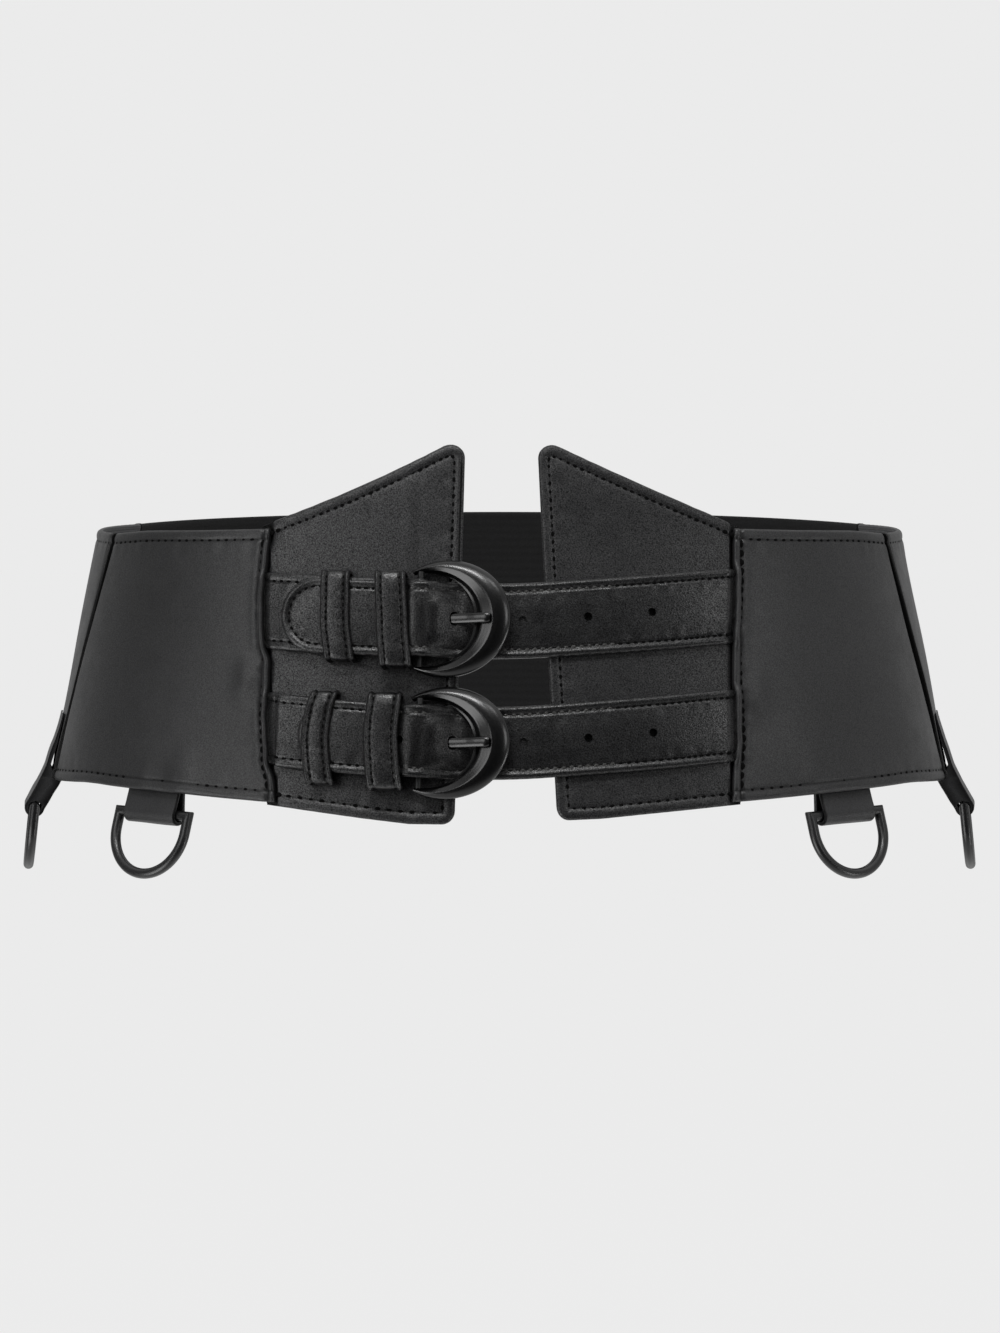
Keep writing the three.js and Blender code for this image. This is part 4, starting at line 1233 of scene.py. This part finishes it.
def buckle(level):
    """Crescent bow, and the bar between its horns."""
    name = f"{level}_buckle_frame"
    across, rise = BUCKLE["across"], BUCKLES[level]["up"]
    section = round_section(BOW_SECTION, 60)
    sections = []
    for turn in np.linspace(-1, 1, 181):
        angle = math.radians(turn * BUCKLE["horn_top" if turn > 0 else "horn_bottom"])
        fullness = max(math.cos(turn * math.pi / 2), 0) ** BUCKLE["taper"]
        width = mix(BUCKLE["horn_width"], BUCKLE["bow_width"], fullness)
        high = mix(BUCKLE["horn_height"], BUCKLE["bow_height"], math.sqrt(fullness))
        edge = np.array([across * math.cos(angle), rise * math.sin(angle)])
        normal = unit(np.array([math.cos(angle) / across, math.sin(angle) / rise]))
        spots = edge[None, :] - normal[None, :] * (width * section[:, :1])
        sections.append(np.concatenate([spots, high * section[:, 1:]], axis=1))
    bow = move(sweep(name, sections, BUCKLE_ENAMEL), buckle_frame(level))
    half = rise * math.sqrt(1 - (BAR_ALONG / across) ** 2) - BUCKLE["bar_inset"]
    turn = circle(32)
    ring = np.stack([np.cos(turn), np.zeros(32), np.sin(turn)], axis=1) * BUCKLE["bar_radius"]
    ends = [ring + [BAR_ALONG, y, 0] for y in (-half, half)]
    bar = move(sweep(f"{level}_buckle_bar", ends, BAR_ENAMEL), buckle_frame(level))
    finish_piece(bow, BELT, "buckle_metal", name)
    finish_piece(bar, BELT, "buckle_metal")


def prong_mesh(level, spare, name, material):
    """The prong, or, with some spare, the tool that cuts its slot in the strap."""
    around = BUCKLE["bar_radius"] + PRONG["loop_gap"] + PRONG["thick"] / 2
    hook = [] if spare else [
        (BAR_ALONG + around * math.cos(turn), around * math.sin(turn))
        for turn in np.radians(np.linspace(*PRONG["hook"], 28))
    ]
    on_bow = BUCKLE["bow_height"] + PRONG["thick"] / 2 + PRONG["rest_gap"]
    path = resample(hook + PRONG_SHAFT + [(along, on_bow) for along in PRONG["rest"]], 0.5)
    half = np.array([PRONG["wide"] / 2 + spare, PRONG["thick"] / 2 + spare])
    turn = circle(28)
    plain = np.stack([np.cos(turn), np.sin(turn)], axis=1)
    outline = np.sign(plain) * np.abs(plain) ** (2 / PRONG["power"]) * half
    sections = []
    for k, (spot, normal) in enumerate(zip(path, left_of(path))):
        near_end = min(k, len(path) - 1 - k)
        scale = 1.0 if spare or near_end > 1 else PRONG["ends"][near_end]
        sections.append([
            (spot[0] + normal[0] * v * scale, u * scale, spot[1] + normal[1] * v * scale)
            for u, v in outline
        ])
    return move(sweep(name, sections, material), buckle_frame(level))


def prong(level):
    name = f"{level}_prong"
    finish_piece(prong_mesh(level, 0, name, BUCKLE_ENAMEL), BELT, "buckle_metal", name)


# Rings and their tabs

def bar_frame(spot, upright):
    """Frame on a ring's bar: along it, up, and straight out or off the panel."""
    around, _, away = axes_at(spot["along"], spot["height"])
    level = unit(np.array([away[0], away[1], 0.0]))
    bar = Matrix.Rotation(math.radians(-spot["tip"]), 3, Vector(level)) @ Vector(around)
    out = Vector(level if upright else away)
    out = (out - bar * out.dot(bar)).normalized()
    return matrix_of(bar, out.cross(bar), out, place(spot["along"], spot["height"], spot["out"]))


def d_ring(key):
    """Bent rod closed by a straight bar, with tight corners."""
    name = f"d_ring_{key}"
    spot = RING_PLACES[key]
    r = RING["rod"] / 2
    radius = (RING["outer"] - RING["rod"]) / 2
    arm = RING["height"] - RING["rod"] - radius
    path = [(x, 0.0) for x in np.linspace(-radius, radius, 10)]
    path += [(radius, y) for y in np.linspace(0, -arm, 6)[1:]]
    path += [(radius * math.cos(turn), -arm - radius * math.sin(turn))
             for turn in np.linspace(0, math.pi, 60)[1:-1]]
    path = np.array(path + [(-radius, y) for y in np.linspace(-arm, 0, 6)[:-1]])
    behind, ahead = unit(path - np.roll(path, 1, axis=0)), unit(np.roll(path, -1, axis=0) - path)
    sections = []
    for point, before, after in zip(path, behind, ahead):
        way = unit(before + after)
        # Wider where the rod turns, so that the corners are mitred
        x, y = np.array([-way[1], way[0]]) / (way @ after)
        sections.append([
            (point[0] + x * r * math.cos(a), point[1] + y * r * math.cos(a), r * math.sin(a))
            for a in circle(28)
        ])
    swing = Matrix.Rotation(math.radians(-spot["lean"]), 4, "X")
    piece = move(sweep(name, sections, RING_LACQUER, True), bar_frame(spot, True) @ swing)
    finish_piece(piece, f"ring_{key}", "ring_metal", name)


def ring_tab(key):
    """Strip of leather folded round the ring's bar."""
    name = f"ring_tab_{key}"
    spot = RING_PLACES[key]
    shape = SIDE_TAB if spot["side"] else HANGING_TAB
    seed = 200 + sum(map(ord, key))
    around = RING["rod"] / 2 + TAB["bar_gap"] + TAB["thick"] / 2
    turns = np.radians(np.linspace(*shape["fold"], 30))
    fold = [(around * math.sin(turn), around * math.cos(turn)) for turn in turns]
    path = np.array(shape["outer"] + fold + shape["inner"], float)
    for _ in range(2):
        path[1:-1] = 0.5 * path[1:-1] + 0.25 * (path[:-2] + path[2:])
    path = resample(path, 0.5)
    plus, minus = strip(path, TAB["thick"])
    half = TAB["width"] / 2
    cross = spread(-half, half, 10)
    rim = rounded((half - np.abs(cross))[None, :], 0.5)
    soft = dune(np.arange(len(path))[:, None] * 0.5, cross[None, :], seed, 14, 0.07)
    normal = unit(minus - plus)[:, None, :]

    def skive(rise):
        """The strip is pared thinner toward its upper end."""
        return TAB["skive"] * rising(rise, 17, 29)

    outer = minus[:, None, :] + normal * (rim + soft - skive(path[:, 0])[:, None])[..., None]
    inner = plus[:, None, :] - normal * (rim * 0.8)[..., None]
    wide = np.broadcast_to(cross[None, :], outer.shape[:2])
    frame_at = np.array(bar_frame(spot, False))
    faces = []
    for face in (outer, inner):
        rise, off = face[..., 0], face[..., 1]
        if spot["side"] and face is inner:
            # Glued together from the ring up to the panel's edge
            glued = rising(rise, 1.0, 2.2) * rising(rise, 14, 11)
            off = mix(off, np.interp(rise, [1.6, 8, 12], [0, -3.4, -3.4]), glued)
        point = np.stack([wide, rise, off], axis=-1) @ frame_at[:3, :3].T + frame_at[:3, 3]
        if spot["side"]:
            # The strip bends with the panel that it lies on
            guess = (spot["along"] + wide, spot["height"] + rise, spot["out"] + off)
            along, height, out = coordinates_of(point, *guess)
            middle = out[:, [len(cross) // 2]]
            point = place(along, height, mix(out, middle, rising(rise, 5, 13)))
        faces.append(point)
    # Painted shade along the strip's side edges
    edge = 0.8 * rising(np.abs(wide), half - 0.6, half - 0.05)
    piece = slab(name, *faces, TAB_LEATHER, painted_shade=edge)
    finish_piece(piece, BELT, "strap_leather", name)
    if spot["side"]:
        x, top, bottom = TAB_BOX
        box = np.array([(-x, top), (x, top), (x, bottom), (-x, bottom), (-x, top)])
        run = run_on(box + [spot["along"], spot["height"]], "tab",
                     lambda m: 1.5 - skive(m[:, 1] - spot["height"]) - 0.1)
        sew(name, "tab", [run], "strap_leather", seed + 3)


for side in SIDES:
    front_panel(side)
    side_panel(side)
    back_side_panel(side)
elastic_back()
for level in STRAPS:
    long_strap(level)
    base_strap(level)
    buckle(level)
    prong(level)
for name in KEEPERS:
    keeper(name)
for key in RING_PLACES:
    d_ring(key)
    ring_tab(key)


# Stage, light and camera

PALE = (0.8308, 0.8308, 0.8308)
FLOOR = dict(size=24, height=-0.42, glow=0.961)
# Light level round the belt, by azimuth from the camera toward the right
STUDIO = {
    -180: 0.4, -145: 0.7, -118: 0.34, -80: 0.24, -48: 0.18, -28: 0.12, -10: 0.04, 6: 0.03,
    22: 0.04, 45: 0.15, 62: 0.32, 80: 0.6, 118: 0.52, 145: 0.7, 180: 0.4,
}
# Light added above and below: height on the unit sphere where it starts and is full, its level
CEILING = (0.55, 0.9, 0.6)
TABLE = (-0.35, -0.75, 0.7)
# Softboxes: azimuth from the camera toward the right, elevation, distance, width, height, power
SOFTBOXES = dict(
    key=(-40, 20, 1.4, 0.7, 0.45, 3.1),
    top=(-10, 48, 1.2, 0.42, 0.15, 5.8),
    rim=(28, 48, 1.3, 0.3, 0.2, 1.0),
    low=(-50, -22, 1.3, 0.75, 0.8, 8.0),
    right=(66, -20, 1.5, 0.25, 0.6, 3.0),
    fill=(42, 16, 1.4, 0.3, 0.5, 1.8),
)
CAMERA = dict(distance=1.7, elevation=3.0, pixels_per_mm=3.2, origin=(499.5, 656.0),
              frame=(1000, 1333), sensor=36.0, clip=(0.05, 60))


def pale_stage():
    """Pale floor far below the belt. Only the camera sees it, so it doesn't light the leather."""
    bpy.ops.mesh.primitive_plane_add(size=FLOOR["size"], location=(0, 0, FLOOR["height"]))
    floor = bpy.context.object
    floor.name = "floor"
    floor.data.materials.append(new_material("pale_floor").set(
        base_color=(0.05, 0.05, 0.05), roughness=1.0, specular_ior_level=0.0,
        emission_color=PALE, emission_strength=FLOOR["glow"],
    ))
    floor.visible_diffuse = False
    floor.visible_glossy = False


def studio():
    """Pale behind the belt and at its sides, dark in front, where the camera stands."""
    world = bpy.data.worlds.new("studio")
    bpy.context.scene.world = world
    n = Nodes(world)
    n.tree.nodes.clear()
    toward = n.add("ShaderNodeSeparateXYZ", {0: n.spot("Generated")}).outputs
    azimuth = n.math("ARCTAN2", toward["X"], n.times(toward["Y"], -1.0))
    ramp = n.add("ShaderNodeValToRGB", {0: n.span(azimuth, 0, 1, -math.pi, math.pi)})
    ramp.color_ramp.interpolation = "B_SPLINE"
    stops = ramp.color_ramp.elements
    for angle in list(STUDIO)[1:-1]:
        stops.new(angle / 360 + 0.5)
    for stop, (angle, level) in zip(stops, STUDIO.items()):
        stop.position = angle / 360 + 0.5
        stop.color = (level, level, level, 1)
    level = ramp.outputs["Color"]
    for start, end, extra in (CEILING, TABLE):
        zone = n.span(toward["Z"], 0.0, extra, start, end, interpolation_type="SMOOTHSTEP")
        level = n.plus(level, zone)
    lit = n.add("ShaderNodeBackground", {"Color": (1, 1, 1), "Strength": level}).outputs[0]
    seen = n.add("ShaderNodeBackground", {"Color": PALE}).outputs[0]
    by_camera = n.add("ShaderNodeLightPath").outputs["Is Camera Ray"]
    both = n.add("ShaderNodeMixShader", {0: by_camera, 1: lit, 2: seen}).outputs[0]
    n.add("ShaderNodeOutputWorld", {"Surface": both})


def stand(name, data, azimuth, elevation, distance):
    """Puts a light or the camera round the belt, looking at its middle."""
    thing = add_object(name, data)
    turn, lift = math.radians(azimuth), math.radians(elevation)
    level = distance * math.cos(lift)
    thing.location = (level * math.sin(turn), -level * math.cos(turn), distance * math.sin(lift))
    thing.rotation_euler = (-thing.location).to_track_quat("-Z", "Y").to_euler()
    return thing


def softbox(name, azimuth, elevation, distance, width, height, power):
    light = bpy.data.lights.new(name, "AREA")
    light.shape = "RECTANGLE"
    light.size, light.size_y = width, height
    light.energy = power
    stand(name, light, azimuth, elevation, distance)


def camera():
    width, height = CAMERA["frame"]
    focal = CAMERA["pixels_per_mm"] * CAMERA["distance"] / MM
    data = bpy.data.cameras.new("camera")
    data.sensor_width = CAMERA["sensor"]
    data.lens = focal / height * data.sensor_width
    data.shift_x = (width / 2 - CAMERA["origin"][0]) / height
    data.shift_y = (CAMERA["origin"][1] - height / 2) / height
    data.clip_start, data.clip_end = CAMERA["clip"]
    eye = stand("camera", data, 0, CAMERA["elevation"], CAMERA["distance"])
    bpy.context.scene.camera = eye


pale_stage()
studio()
for name, box in SOFTBOXES.items():
    softbox(name, *box)
camera()
bpy.context.scene.view_settings.view_transform = "Standard"
